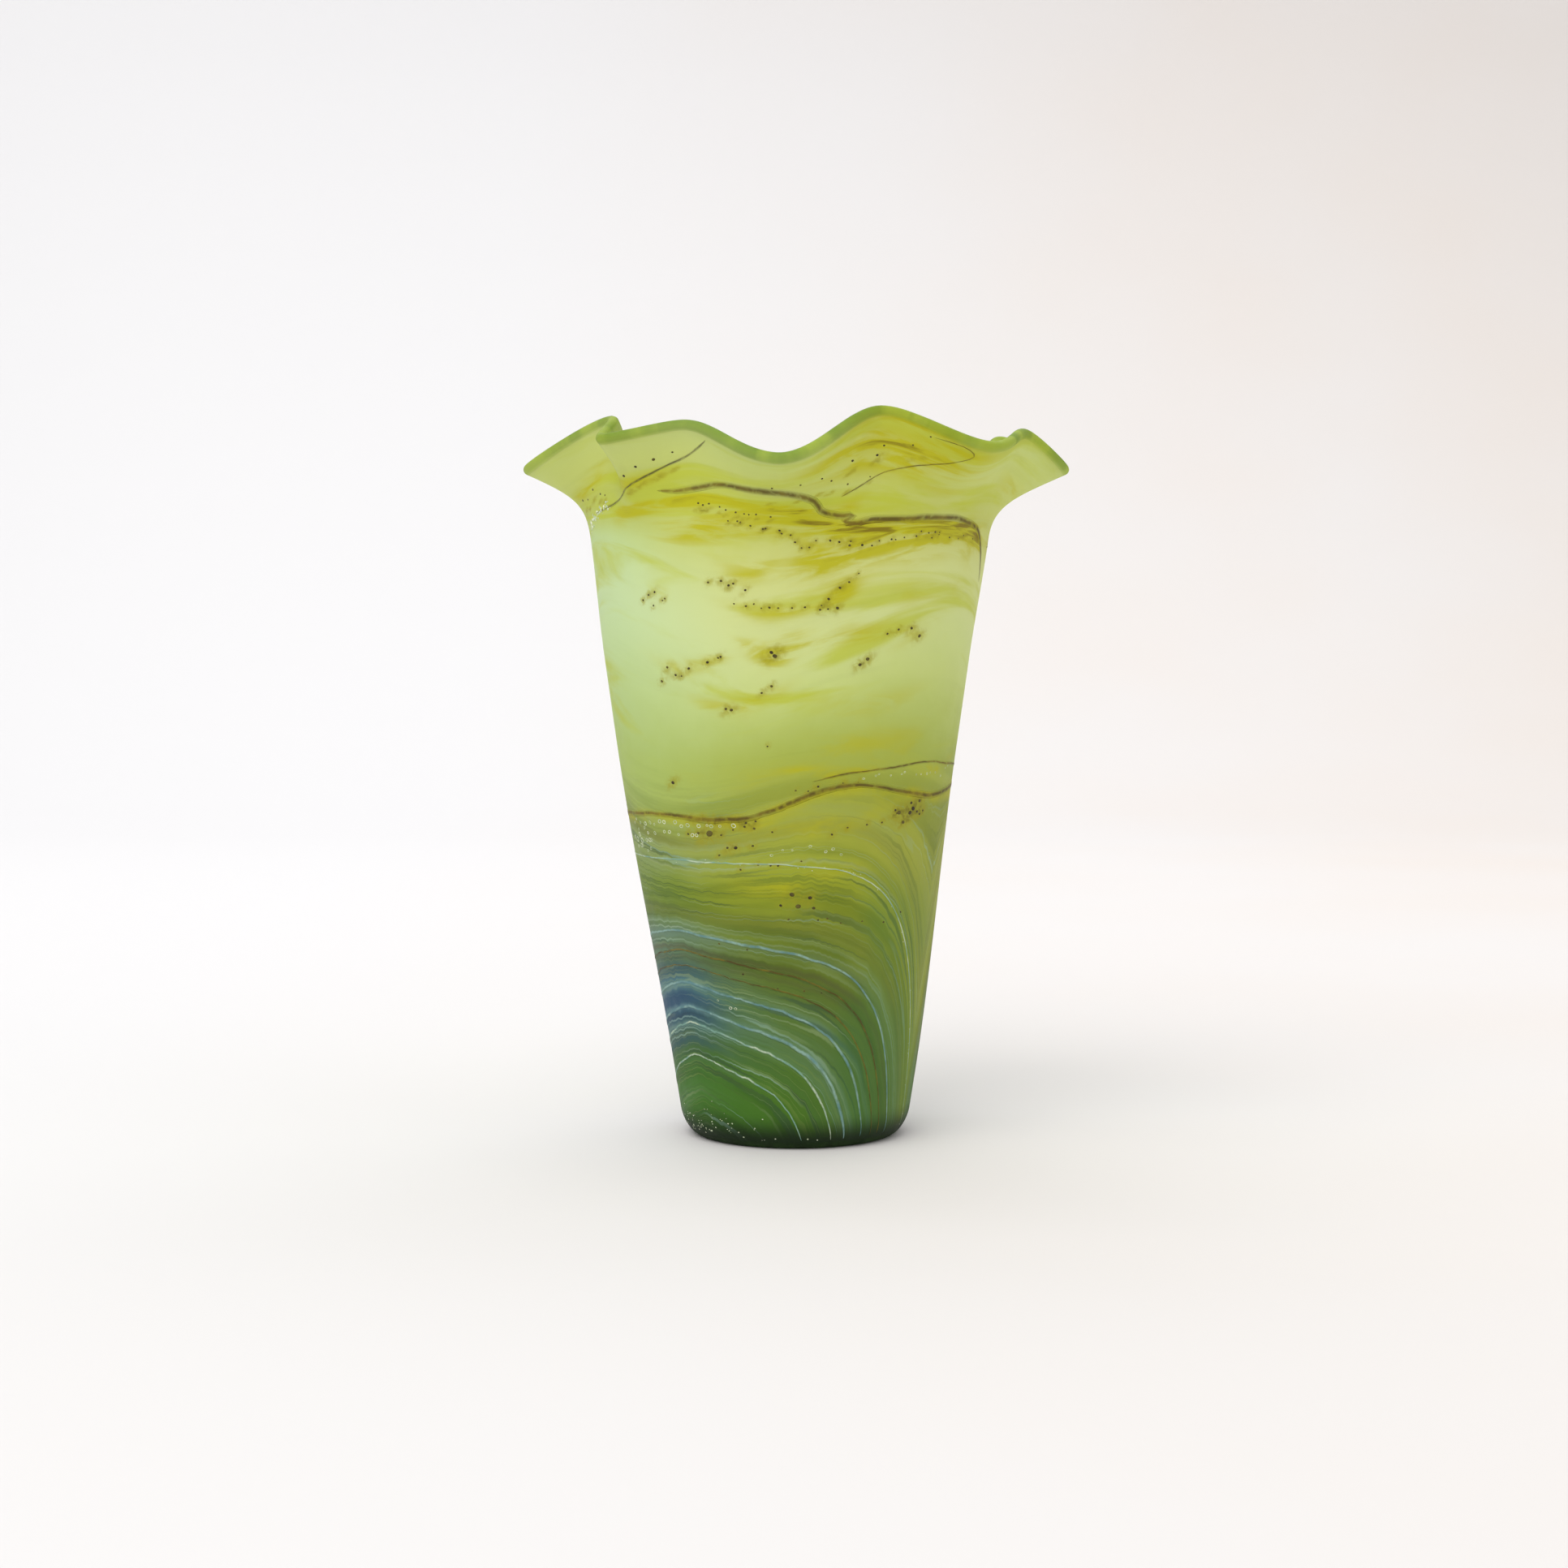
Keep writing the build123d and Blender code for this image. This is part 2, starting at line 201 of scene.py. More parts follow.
def make_skin_rule():
    """Node group: azimuth in degrees and station in, point of the outer skin in mm out."""
    tree = bpy.data.node_groups.new("Point of the vase's skin", "GeometryNodeTree")
    for name in ("Azimuth", "Station", *SKIN_SIZES):
        tree.interface.new_socket(name, in_out="INPUT", socket_type="NodeSocketFloat")
    tree.interface.new_socket("Point", in_out="OUTPUT", socket_type="NodeSocketVector")
    given = tree.nodes.new("NodeGroupInput").outputs

    # Level direction away from the axis: azimuth 0 is the front, -Y
    turn = add_node(tree, MATH, {0: given["Azimuth"]}, operation="RADIANS")
    sine = add_node(tree, MATH, {0: turn}, operation="SINE")
    cosine = add_node(tree, MATH, {0: turn}, operation="COSINE")
    behind = add_node(tree, MATH, {0: cosine, 1: -1.0}, operation="MULTIPLY")
    out = add_node(tree, "ShaderNodeCombineXYZ", {0: sine, 1: behind})

    # The cone with its rounded heel, leaning a little to the left from 20 to 135 mm up
    share = add_node(tree, MATH, {0: given["Station"], 1: 1.0}, operation="MINIMUM")
    share = add_node(tree, MATH, {0: share, 1: 0.0}, operation="MAXIMUM")
    height = add_node(tree, MATH, {0: share, 1: given["Neck height"]}, operation="MULTIPLY")
    taper = add_node(tree, MATH, {0: height, 1: -CONE_EASE, 2: CONE_TAPER}, operation="MULTIPLY_ADD")
    cone = add_node(tree, MATH, {0: height, 1: taper, 2: CONE_RADIUS}, operation="MULTIPLY_ADD")
    heel = add_node(tree, MATH, {0: height, 1: given["Heel height"]}, operation="DIVIDE")
    heel = add_node(tree, MATH, {0: 1.0, 1: heel}, operation="SUBTRACT", use_clamp=True)
    heel = add_node(tree, MATH, {0: heel, 1: heel}, operation="MULTIPLY")
    heel = add_node(tree, MATH, {0: 1.0, 1: heel}, operation="SUBTRACT", use_clamp=True)
    heel = add_node(tree, MATH, {0: heel}, operation="SQRT")
    spread = add_node(tree, MATH, {0: cone, 1: given["Foot radius"]}, operation="SUBTRACT")
    radius = add_node(tree, MATH, {0: spread, 1: heel, 2: given["Foot radius"]}, operation="MULTIPLY_ADD")
    lean = add_node(tree, RANGE, {0: height, 1: 20.0, 2: 135.0, 3: 0.0, 4: -LEAN}, **EASED)
    back = add_node(tree, RANGE, {0: height, 1: 165.0, 2: NECK_HEIGHT, 3: 0.0, 4: LEAN_BACK}, **EASED)
    lean = add_node(tree, MATH, {0: lean, 1: back}, operation="ADD")
    centre = add_node(tree, "ShaderNodeCombineXYZ", {0: lean, 2: height})
    start = add_node(tree, VECTOR, {0: out, "Scale": radius}, operation="SCALE")
    start = add_node(tree, VECTOR, {0: start, 1: centre}, operation="ADD")

    # The lip's crest: from each lobe to the next ridge and back in smooth steps
    lip_radius, lip_height = LIP[0][1:]
    for (a0, r0, z0), (a1, r1, z1) in zip(LIP, LIP[1:]):
        step = add_node(tree, RANGE, {0: given["Azimuth"], 1: a0, 2: a1}, **EASED)
        lip_radius = add_node(tree, MATH, {0: step, 1: r1 - r0, 2: lip_radius}, operation="MULTIPLY_ADD")
        lip_height = add_node(tree, MATH, {0: step, 1: z1 - z0, 2: lip_height}, operation="MULTIPLY_ADD")

    # The flare: a curve that leaves the cone upwards, and ends flat at lobes, steep at ridges
    low, high = math.radians(LOBE_SLOPE), math.radians(RIDGE_SLOPE)
    slope = add_node(tree, RANGE, {0: lip_height, 1: LOBE_TIP, 2: RIDGE_TIP, 3: low, 4: high})
    reach = add_node(tree, RANGE, {0: lip_height, 1: LOBE_TIP, 2: RIDGE_TIP, 3: LOBE_PULL, 4: RIDGE_PULL})
    level = add_node(tree, MATH, {0: slope}, operation="COSINE")
    steep = add_node(tree, MATH, {0: slope}, operation="SINE")
    run = add_node(tree, VECTOR, {0: out, "Scale": level}, operation="SCALE")
    rise = add_node(tree, "ShaderNodeCombineXYZ", {2: steep})
    run = add_node(tree, VECTOR, {0: run, 1: rise}, operation="ADD")
    crest = add_node(tree, VECTOR, {0: out, "Scale": lip_radius}, operation="SCALE")
    rise = add_node(tree, "ShaderNodeCombineXYZ", {2: lip_height})
    crest = add_node(tree, VECTOR, {0: crest, 1: rise}, operation="ADD")
    half = add_node(tree, MATH, {0: given["Wall"], 1: -0.5}, operation="MULTIPLY")
    short = add_node(tree, VECTOR, {0: run, "Scale": half}, operation="SCALE")
    end = add_node(tree, VECTOR, {0: crest, 1: short}, operation="ADD")
    pull = {0: out, 1: (FLARE_ASIDE * FLARE_START,) * 3, 2: (0, 0, FLARE_START)}
    pull = add_node(tree, VECTOR, pull, operation="MULTIPLY_ADD")
    first = add_node(tree, VECTOR, {0: start, 1: pull}, operation="ADD")
    pull = add_node(tree, VECTOR, {0: run, "Scale": reach}, operation="SCALE")
    second = add_node(tree, VECTOR, {0: end, 1: pull}, operation="SUBTRACT")
    along = add_node(tree, MATH, {0: given["Station"], 1: 1.0}, operation="SUBTRACT", use_clamp=True)
    points = [start, first, second, end]
    while len(points) > 1:
        pairs = zip(points, points[1:])
        points = [add_node(tree, MIX, {0: along, 4: a, 5: b}, **POINTS) for a, b in pairs]
    add_node(tree, "NodeGroupOutput", {0: points[0]})
    return tree


skin_rule = make_skin_rule()


def new_shape_tree(name, sizes, finishes):
    """Geometry tree with an input for each size and each finish, and those inputs."""
    tree = bpy.data.node_groups.new(name, "GeometryNodeTree")
    sockets = [("Geometry", "NodeSocketGeometry")]
    sockets += [(size, "NodeSocketFloat") for size in sizes]
    sockets += [(finish, "NodeSocketMaterial") for finish in finishes]
    for socket, kind in sockets:
        tree.interface.new_socket(socket, in_out="INPUT", socket_type=kind)
    tree.interface.new_socket("Geometry", in_out="OUTPUT", socket_type="NodeSocketGeometry")
    return tree, tree.nodes.new("NodeGroupInput").outputs


def stored_numbers(tree, names):
    """The numbers that a blank of glass carries, by name."""
    kind = "GeometryNodeInputNamedAttribute"
    return {name: add_node(tree, kind, {"Name": name}, data_type="FLOAT") for name in names}


def feel_skin(tree, given, stored):
    """The skin at the stored azimuth and station: its point, a step round, a step up, and outward."""
    places = []
    for turn, rise in ((0.0, 0.0), (ROUND_STEP, 0.0), (-ROUND_STEP, 0.0), (0.0, UP_STEP), (0.0, -UP_STEP)):
        azimuth = add_node(tree, MATH, {0: stored["azimuth"], 1: turn}, operation="ADD")
        station = add_node(tree, MATH, {0: stored["station"], 1: rise}, operation="ADD")
        station = add_node(tree, "ShaderNodeClamp", {0: station, 1: 0.0, 2: 2.0})
        links = {"Azimuth": azimuth, "Station": station} | {name: given[name] for name in SKIN_SIZES}
        places.append(add_node(tree, "GeometryNodeGroup", links, node_tree=skin_rule))
    round_step = add_node(tree, VECTOR, {0: places[1], 1: places[2]}, operation="SUBTRACT")
    up_step = add_node(tree, VECTOR, {0: places[3], 1: places[4]}, operation="SUBTRACT")
    outward = add_node(tree, VECTOR, {0: round_step, 1: up_step}, operation="CROSS_PRODUCT")
    outward = add_node(tree, VECTOR, {0: outward}, operation="NORMALIZE")
    return places[0], round_step, up_step, outward


def make_laying_tree():
    """Node tree: lays a flat blank of glass on the skin, by the numbers stored on its corners."""
    tree, given = new_shape_tree("Lay glass on the skin", SKIN_SIZES, ("Glass", "Seam"))
    stored = stored_numbers(tree, (
        "azimuth", "station", "depth", "past", "across", "heading", "climb", "level", "level_radius",
        "level_height"))

    def moved(place, direction, distance):
        step = add_node(tree, VECTOR, {0: direction, "Scale": distance}, operation="SCALE")
        return add_node(tree, VECTOR, {0: place, 1: step}, operation="ADD")

    laid, round_step, up_step, outward = feel_skin(tree, given, stored)
    inward = add_node(tree, VECTOR, {0: outward, 1: (-1, -1, -1)}, operation="MULTIPLY")
    upward = add_node(tree, VECTOR, {0: outward, 1: round_step}, operation="CROSS_PRODUCT")
    upward = add_node(tree, VECTOR, {0: upward}, operation="NORMALIZE")
    along = moved(moved((0, 0, 0), round_step, stored["heading"]), up_step, stored["climb"])
    aside = add_node(tree, VECTOR, {0: outward, 1: along}, operation="CROSS_PRODUCT")
    aside = add_node(tree, VECTOR, {0: aside}, operation="NORMALIZE")
    laid = moved(laid, inward, stored["depth"])
    laid = moved(moved(laid, upward, stored["past"]), aside, stored["across"])

    # Level rings, for the foot, the hollow under it and the floor
    turn = add_node(tree, MATH, {0: stored["azimuth"], 1: -90.0}, operation="ADD")
    turn = add_node(tree, MATH, {0: turn}, operation="RADIANS")
    flat = [add_node(tree, MATH, {0: turn}, operation=name) for name in ("COSINE", "SINE")]
    flat = [add_node(tree, MATH, {0: v, 1: stored["level_radius"]}, operation="MULTIPLY") for v in flat]
    ring = add_node(tree, "ShaderNodeCombineXYZ", {0: flat[0], 1: flat[1], 2: stored["level_height"]})
    place = add_node(tree, MIX, {0: stored["level"], 4: laid, 5: ring}, **POINTS)
    place = add_node(tree, VECTOR, {0: place, "Scale": MM}, operation="SCALE")
    shape = add_node(tree, "GeometryNodeSetPosition", {"Geometry": given["Geometry"], "Position": place})
    shape = add_node(tree, "GeometryNodeMergeByDistance", {"Geometry": shape, "Distance": WELD * MM})
    shape = add_node(tree, "GeometryNodeRealizeInstances", {"Geometry": shape})
    shape = add_node(tree, "GeometryNodeSetMaterial", {"Geometry": shape, "Material": given["Glass"]})
    seam = add_node(tree, "GeometryNodeInputNamedAttribute", {"Name": "seam"}, data_type="BOOLEAN")
    shape = add_node(
        tree, "GeometryNodeSetMaterial", {"Geometry": shape, "Selection": seam, "Material": given["Seam"]})
    add_node(tree, "NodeGroupOutput", {0: shape})
    return tree


laying_tree = make_laying_tree()


def draw_blank(name, fields, closed_rows, seam_rows=()):
    """Flat sheet of quads, closed across its columns, with a number per corner for each field."""
    count_rows, count_columns = fields["azimuth"].shape
    index = np.arange(count_rows * count_columns).reshape(count_rows, count_columns)
    above = np.roll(index, -1, axis=0)
    if not closed_rows:
        index, above = index[:-1], above[:-1]
    quads = np.stack([index, np.roll(index, -1, 1), np.roll(above, -1, 1), above], axis=-1).reshape(-1, 4)
    mesh = bpy.data.meshes.new(name)
    mesh.from_pydata(np.zeros((count_rows * count_columns, 3)).tolist(), [], quads.tolist())
    for field, values in fields.items():
        kind, key = ("FLOAT_VECTOR", "vector") if values.ndim == 3 else ("FLOAT", "value")
        numbers = values.astype(np.float32).ravel()
        mesh.attributes.new(field, kind, "POINT").data.foreach_set(key, numbers)
    seam = np.zeros(len(index), bool)
    seam[list(seam_rows)] = True
    seam = np.repeat(seam, count_columns)
    mesh.attributes.new("seam", "BOOLEAN", "FACE").data.foreach_set("value", seam)
    return bpy.data.objects.new(name, mesh)


def shaped_by(tree, source, name, values, keep=(), crisp=False):
    """Run a node tree on a source object and keep its result as a plain mesh piece."""
    scene.collection.objects.link(source)
    modifier = source.modifiers.new("shape", "NODES")
    modifier.node_group = tree
    for item in tree.interface.items_tree:
        if item.item_type == "SOCKET" and item.in_out == "INPUT" and item.name in values:
            modifier[item.identifier] = values[item.name]
    evaluated = source.evaluated_get(bpy.context.evaluated_depsgraph_get())
    mesh = bpy.data.meshes.new_from_object(evaluated)
    bpy.data.objects.remove(source)
    mesh.name = name
    keep = (*keep, "material_index", "sharp_face")
    for field in [a.name for a in mesh.attributes]:
        if field not in keep and not mesh.attributes[field].is_required:
            mesh.attributes.remove(mesh.attributes[field])
    mesh.shade_smooth()
    if crisp:
        mesh.set_sharp_from_angle(angle=math.radians(CRISP_ANGLE))
    piece = bpy.data.objects.new(name, mesh)
    scene.collection.objects.link(piece)
    return piece


def wall_fields(rows, columns):
    """Fields of a blank that wraps round the vase, from rows of station, depth, past and level ring."""
    azimuth = -90 + 360 * np.arange(columns) / columns
    table = np.array(rows)
    fields = {"azimuth": np.tile(azimuth, (len(rows), 1))}
    for i, name in enumerate(("station", "depth", "past", "level", "level_radius", "level_height")):
        fields[name] = np.tile(table[:, i:i + 1], (1, columns))
    for name in ("across", "heading", "climb"):
        fields[name] = np.zeros(fields["azimuth"].shape)
    return fields


def cone_radius(height):
    """Radius of the cone at a height."""
    return CONE_RADIUS + CONE_TAPER * height - CONE_EASE * height**2


def mm_per_degree(height):
    """Length of one degree round the body at a height."""
    return math.pi / 180 * (CONE_RADIUS + CONE_TAPER * np.clip(height, 0, NECK_HEIGHT))


def smooth(low, high, value):
    """Smooth step from 0 at low to 1 at high."""
    t = np.clip((value - low) / (high - low), 0, 1)
    return t * t * (3 - 2 * t)


def turned(azimuth):
    """An azimuth brought to between -180 and 180 degrees."""
    return (azimuth + 180) % 360 - 180

# ---------------------------------------------------------------------------
# How the colours lie: the hot casing was dragged into nested arches round one crest on
# the front left and another at the back. Each layer, or stratum, is named by the height
# of its crest, and every corner of the glass knows the stratum it belongs to.
CREST = -50.0               # azimuth of the front crest
FRONT_SPAN = 118.0          # degrees from that crest to where the two sets of arches meet
TOP_ARCH = 98.0             # crest of the highest stratum that comes down to the foot
CALM = 126.0                # crest of the lowest stratum that no longer dips there
CREST_ROUND = 4.0           # degrees over which a crest is rounded
SWAG = 14.0                 # mm by which the calm strata hang down between their high points
BELT_SWELL = 5.2            # mm by which the strata near the belt rise and fall
FLARE_LENGTH = 42.0         # mm along the flare from neck to lip
FLOW_RADIUS = 60.0          # mm: patterns are laid out as on a cylinder of this radius
TALLEST = 260.0             # above every stratum
LIGHT_SWAG = 6.0            # amber clouds of a smaller half height hang down at their ends


def arch_span(crest):
    """Degrees from the top of an arch to its foot."""
    return 2.0 + 1.9 * crest - 0.0073 * crest**2


def arch_sag(crest):
    """Share of its height that an arch loses before it turns down."""
    return np.maximum(0.0, 0.63 - 0.0063 * crest)


def arch_share(run, sag):
    """Height of an arch as a share of its crest, from run 0 at the top to 1 at the foot."""
    return (1 - sag * run) * (1 - run**6) ** 0.77


def layer_height(crest, azimuth):
    """Height of a stratum at an azimuth: arches below, a swell near the belt, and swags above."""
    away = np.abs(turned(azimuth - CREST))
    front = away < FRONT_SPAN
    away = np.where(front, away, 180 - away)
    away = np.hypot(away, CREST_ROUND) - CREST_ROUND
    low = np.minimum(crest, TOP_ARCH)
    span = arch_span(low) * np.where(front, 1.0, (180 - FRONT_SPAN) / FRONT_SPAN)
    run = np.clip(away / np.maximum(span, 1.0), 0, 1)
    dip = (1 - arch_share(run, arch_sag(low))) * (1 - smooth(TOP_ARCH, CALM, crest))
    swell = BELT_SWELL * np.cos(np.radians(3 * (azimuth - 22))) * np.exp(-((crest - 118) / 28) ** 2)
    calm = smooth(CALM, 165, crest) * (1 - smooth(188, 216, crest))
    swag = SWAG * 0.5 * (1 - np.cos(np.radians(3 * (azimuth + 12)))) * calm
    return crest * (1 - dip) + swell + swag


def colour_fields(fields):
    """Stratum and flow of each corner, from its azimuth and station, and from how far it lies aside."""
    azimuth, station = fields["azimuth"], fields["station"]
    height = np.where(station < 1, station * NECK_HEIGHT, NECK_HEIGHT + FLARE_LENGTH * (station - 1))
    height = np.where(fields["level"] > 0, fields["level_height"], height)
    degree = mm_per_degree(height)
    run = fields["heading"] * 2 * ROUND_STEP * degree
    rise = fields["climb"] * 2 * UP_STEP * NECK_HEIGHT
    length = np.maximum(np.hypot(run, rise), 1e-6)
    azimuth = azimuth - fields["across"] * rise / length / degree
    height = height + fields["across"] * run / length
    crests = np.linspace(0.5, TALLEST, 520)
    stratum = np.empty_like(height)
    for turn in np.unique(azimuth):
        here = azimuth == turn
        layers = np.maximum.accumulate(layer_height(crests, turn) + crests * 1e-6)
        stratum[here] = np.interp(height[here], layers, crests)
    x, y = FLOW_RADIUS * np.sin(np.radians(azimuth)), -FLOW_RADIUS * np.cos(np.radians(azimuth))
    fields["flow"] = np.stack([x, y, stratum], axis=-1)
    fields["plain"] = np.stack([x, y, height], axis=-1)


# Dark seeds: specks of burnt metal that were picked up with the colour, in loose strings.
# Each string: azimuth, height, spread round, spread up, tilt of the string, count, size.
SEED_STRINGS = [
    (-16, 213, 11, 0.8, -0.22, 10, 0.36), (-8, 207, 10, 0.8, -0.30, 9, 0.4),
    (8, 202, 9, 2.0, 0.15, 7, 0.4), (32, 204, 16, 0.9, 0.2, 12, 0.45), (52, 205, 12, 1.0, 0.0, 6, 0.4),
    (-18, 190, 6, 1.8, -0.25, 5, 0.6), (-6, 182, 11, 0.8, -0.05, 8, 0.42),
    (14, 187, 6, 0.8, 0.95, 5, 0.5), (12, 181, 3, 1.0, 0.0, 3, 0.75), (-42, 185, 5, 3.5, 0.4, 6, 0.4),
    (-37, 162, 7, 5.0, 0.0, 5, 0.6), (-22, 165, 5, 0.9, 0.3, 3, 0.7), (-4, 167, 1.4, 1.6, 0.9, 2, 1.2),
    (-6, 155, 2, 1.0, 0.5, 2, 0.8), (-18, 149, 2, 1.2, -0.2, 2, 0.95), (24, 164, 2, 1.1, 0.5, 2, 0.9),
    (38, 174, 8, 3.0, 0.1, 4, 0.8), (-6, 137, 1, 0.5, 0, 1, 0.5), (-42, 124, 1, 0.5, 0, 1, 0.9),
    (-20, 103, 8, 1.5, 0.1, 4, 0.9), (-8, 97, 14, 1.6, 0.1, 5, 0.4), (-40, 228, 8, 1.4, 0.5, 4, 0.7),
    (2, 86, 9, 3.0, -0.1, 4, 1.1), (6, 80, 10, 2.5, 0.1, 3, 0.7), (50, 113, 7, 2.0, 0.2, 5, 1.0),
    (28, 110, 14, 2.4, 0.1, 5, 0.5), (24, 234, 10, 4.0, 0.2, 5, 0.45), (8, 221, 16, 3.0, 0.1, 6, 0.35),
    (-72, 219, 9, 3.0, 0.4, 5, 0.6), (-10, 62, 25, 6.0, -0.2, 6, 0.4), (30, 78, 20, 8.0, -0.1, 5, 0.45),
    (-24, 112, 14, 0.8, -0.02, 9, 0.55), (14, 123, 12, 0.8, 0.1, 7, 0.4),
    (95, 205, 14, 1.5, 0.2, 12, 0.5), (120, 186, 18, 3.0, 0.2, 12, 0.6),
    (150, 168, 16, 3.0, -0.1, 9, 0.8), (185, 196, 18, 2.0, 0.2, 14, 0.5),
    (205, 160, 14, 3.0, 0.2, 8, 0.7), (240, 186, 12, 3.0, -0.2, 8, 0.6),
    (-28, 107.5, 0.5, 0.3, 0, 1, 1.7), (-22, 108, 18, 1.5, 0.05, 8, 0.6), (46, 116, 9, 2.0, 0.3, 5, 1.1),
    (170, 112, 24, 2.0, 0.1, 9, 0.7), (225, 104, 16, 2.0, 0.1, 7, 0.7), (120, 96, 14, 3.0, 0.1, 6, 0.8),
]
seed_rng = np.random.default_rng(7)
seeds = []
for azimuth, height, spread, rise, tilt, count, size in SEED_STRINGS:
    for place in range(count):
        offset = (2 * place + 1) / count - 1 + seed_rng.uniform(-0.9, 0.9) / count
        up = height + tilt * offset * spread + seed_rng.normal(0, 0.55) * rise
        seeds.append((azimuth + offset * spread, up, size * seed_rng.uniform(0.45, 1.3)))
seeds = np.array(seeds)

# Amber haze: the metal in seeds and brown threads stains the glass round them yellow.
# Each cloud: azimuth, height, half width in degrees, half height in mm, strength.
AMBER_CLOUDS = [
    (8, 211, 9, 4.0, 1.0), (20, 206, 9, 4.0, 0.7), (38, 206, 20, 3.2, 0.5), (62, 203, 10, 5.0, 0.7),
    (-10, 208, 24, 6.0, 0.7), (-30, 207, 12, 4, 0.5), (14, 200, 12, 6, 0.9), (40, 201, 20, 5, 0.7),
    (6, 193, 10, 6, 0.5), (-12, 192, 8, 4, 0.6), (-2, 180, 16, 2.6, 0.6), (16, 186, 5, 7, 0.6),
    (34, 172, 16, 4, 0.5), (-30, 162, 14, 3, 0.65), (-4, 166, 9, 4, 0.9), (14, 171, 16, 3, 0.5),
    (-16, 149, 14, 3, 0.7), (26, 150, 22, 4, 0.4), (-40, 186, 5, 5, 0.3), (45, 186, 18, 5, 0.35),
    (26, 238, 20, 9, 1.5), (-48, 228, 16, 4, 0.6), (-75, 228, 14, 5, 0.7), (30, 138, 30, 5, 0.4),
    (-12, 126, 26, 4, 0.3), (44, 226, 12, 4, 0.35), (80, 230, 12, 6, 0.4), (20, 127.5, 20, 2, 0.7),
    (60, 128, 18, 2, 0.6), (10, 110, 30, 4, 0.5), (0, 90, 26, 5, 0.45), (100, 206, 24, 6, 0.9),
    (130, 188, 20, 6, 0.6), (155, 170, 18, 4, 0.6), (190, 198, 22, 5, 0.8), (212, 164, 16, 4, 0.6),
    (245, 188, 14, 5, 0.5), (180, 214, 30, 5, 0.8), (120, 150, 26, 5, 0.4), (235, 140, 26, 5, 0.35),
    (140, 228, 16, 6, 0.5), (225, 226, 16, 6, 0.5), (100, 120, 20, 3, 0.7), (170, 112, 30, 3, 0.8),
    (230, 108, 26, 3, 0.8),
]
# Amber also bleeds from the two dark trails, a little upwards and further down.
# Each bleed: route of azimuth and height, reach above, reach below, strength.
BLEEDS = [
    ([(-64, 213), (-46, 218), (-31, 219.4), (-20, 221), (-10, 219), (0, 217.5), (7, 213), (12, 209),
      (22, 209.5), (46, 211), (58, 210), (66, 207.5), (74, 198)], 1.3, 5.0, 1.15),
    ([(-100, 111), (-50, 113), (-26, 112), (-10, 114), (2, 118.5), (14, 122.5), (26, 123.5), (42, 121),
      (60, 119), (110, 119)], 1.0, 3.2, 0.55),
]


def stain_fields(fields):
    """How much amber lies at each corner: broad clouds, bleeds, and a drawn-out halo round each seed."""
    azimuth, height = fields["azimuth"], fields["plain"][..., 2]
    amber = np.zeros(azimuth.shape)
    for route, above, below, strength in BLEEDS:
        turns, heights = np.array(route).T
        lift = height - np.interp(turned(azimuth), turns, heights)
        inside = smooth(turns[0], turns[0] + 14, azimuth) * smooth(turns[-1], turns[-1] - 8, azimuth)
        amber += strength * inside * np.exp(-((lift / np.where(lift > 0, above, below)) ** 2))
    for turn, middle, wide, tall, strength in AMBER_CLOUDS:
        away = turned(azimuth - turn)
        lift = height - middle - 0.10 * away - 4.0 * (away / wide) ** 2 * (tall < LIGHT_SWAG)
        amber += strength * np.exp(-((away / wide) ** 2) - (lift / tall) ** 2)
    # Each halo is drawn out up to the right, at 28 degrees
    halo = np.zeros(azimuth.shape)
    degree = mm_per_degree(height)
    for turn, middle, size in seeds:
        near = np.abs(height[:, 0] - middle) < 12
        away = turned(azimuth[near] - turn) * degree[near]
        lift = height[near] - middle
        along, over = away * 0.88 + lift * 0.47, lift * 0.88 - away * 0.47
        halo[near] += np.exp(-((along / (3.0 * size + 0.7)) ** 2) - (over / (1.4 * size + 0.4)) ** 2)
    fields["amber"] = np.clip(amber, 0, 1.8)
    fields["halo"] = np.clip(halo, 0, 1.2)

# ---------------------------------------------------------------------------
# Marbled casing: a thin skin of marbled colour over the gather, matted in acid so that its
# gloss is soft and wide. The eye sees pale aqua and yellow above, olive and green below,
# teal on the left of the arches, and fine drawn-out lines that follow the strata.
LEFT_SHADES = [             # stratum in mm and the colour on the left of each crest
    (6, "457a22"), (20, "4e862a"), (30, "4c7e3c"), (38, "4c7058"), (45, "4c7c8a"), (49, "3a6280"),
    (54, "4c8092"), (60, "52787a"), (66, "688868"), (73, "749474"), (80, "7a9642"), (92, "8ca440"),
    (101, "a2b66c"), (110, "adbe62"), (122, "bed272"), (136, "c6da84"), (152, "d4e8aa"), (175, "dceebc"),
    (195, "d5e7a4"), (215, "d0da7a"), (250, "d8e08c"),
]
RIGHT_SHADES = [            # and on the right, where more yellow was picked up
    (6, "46781e"), (24, "528424"), (36, "588428"), (44, "5e8632"), (52, "628636"), (60, "688634"),
    (67, "70862e"), (74, "80962e"), (81, "90a030"), (91, "a8b42e"), (100, "b4be42"), (110, "b6be48"),
    (122, "bac452"), (136, "c2d06a"), (150, "d8e492"), (168, "e2eba8"), (190, "e1e79c"), (215, "d5dc7e"),
    (250, "dae498"),
]
SATIN = 0.52                # roughness of acid-matted glass
SATIN_DRIFT = 0.06          # and how far it drifts from patch to patch
GLASS_IOR = 1.5
GLOSS = 0.3                 # specular level of matted glass
CASING_GLOW = 0.35          # share of the light that comes through the casing
GATHER_GLOW = 0.45          # and through the green glass
KINK = 2.2                  # mm, how far the drawn lines are kinked
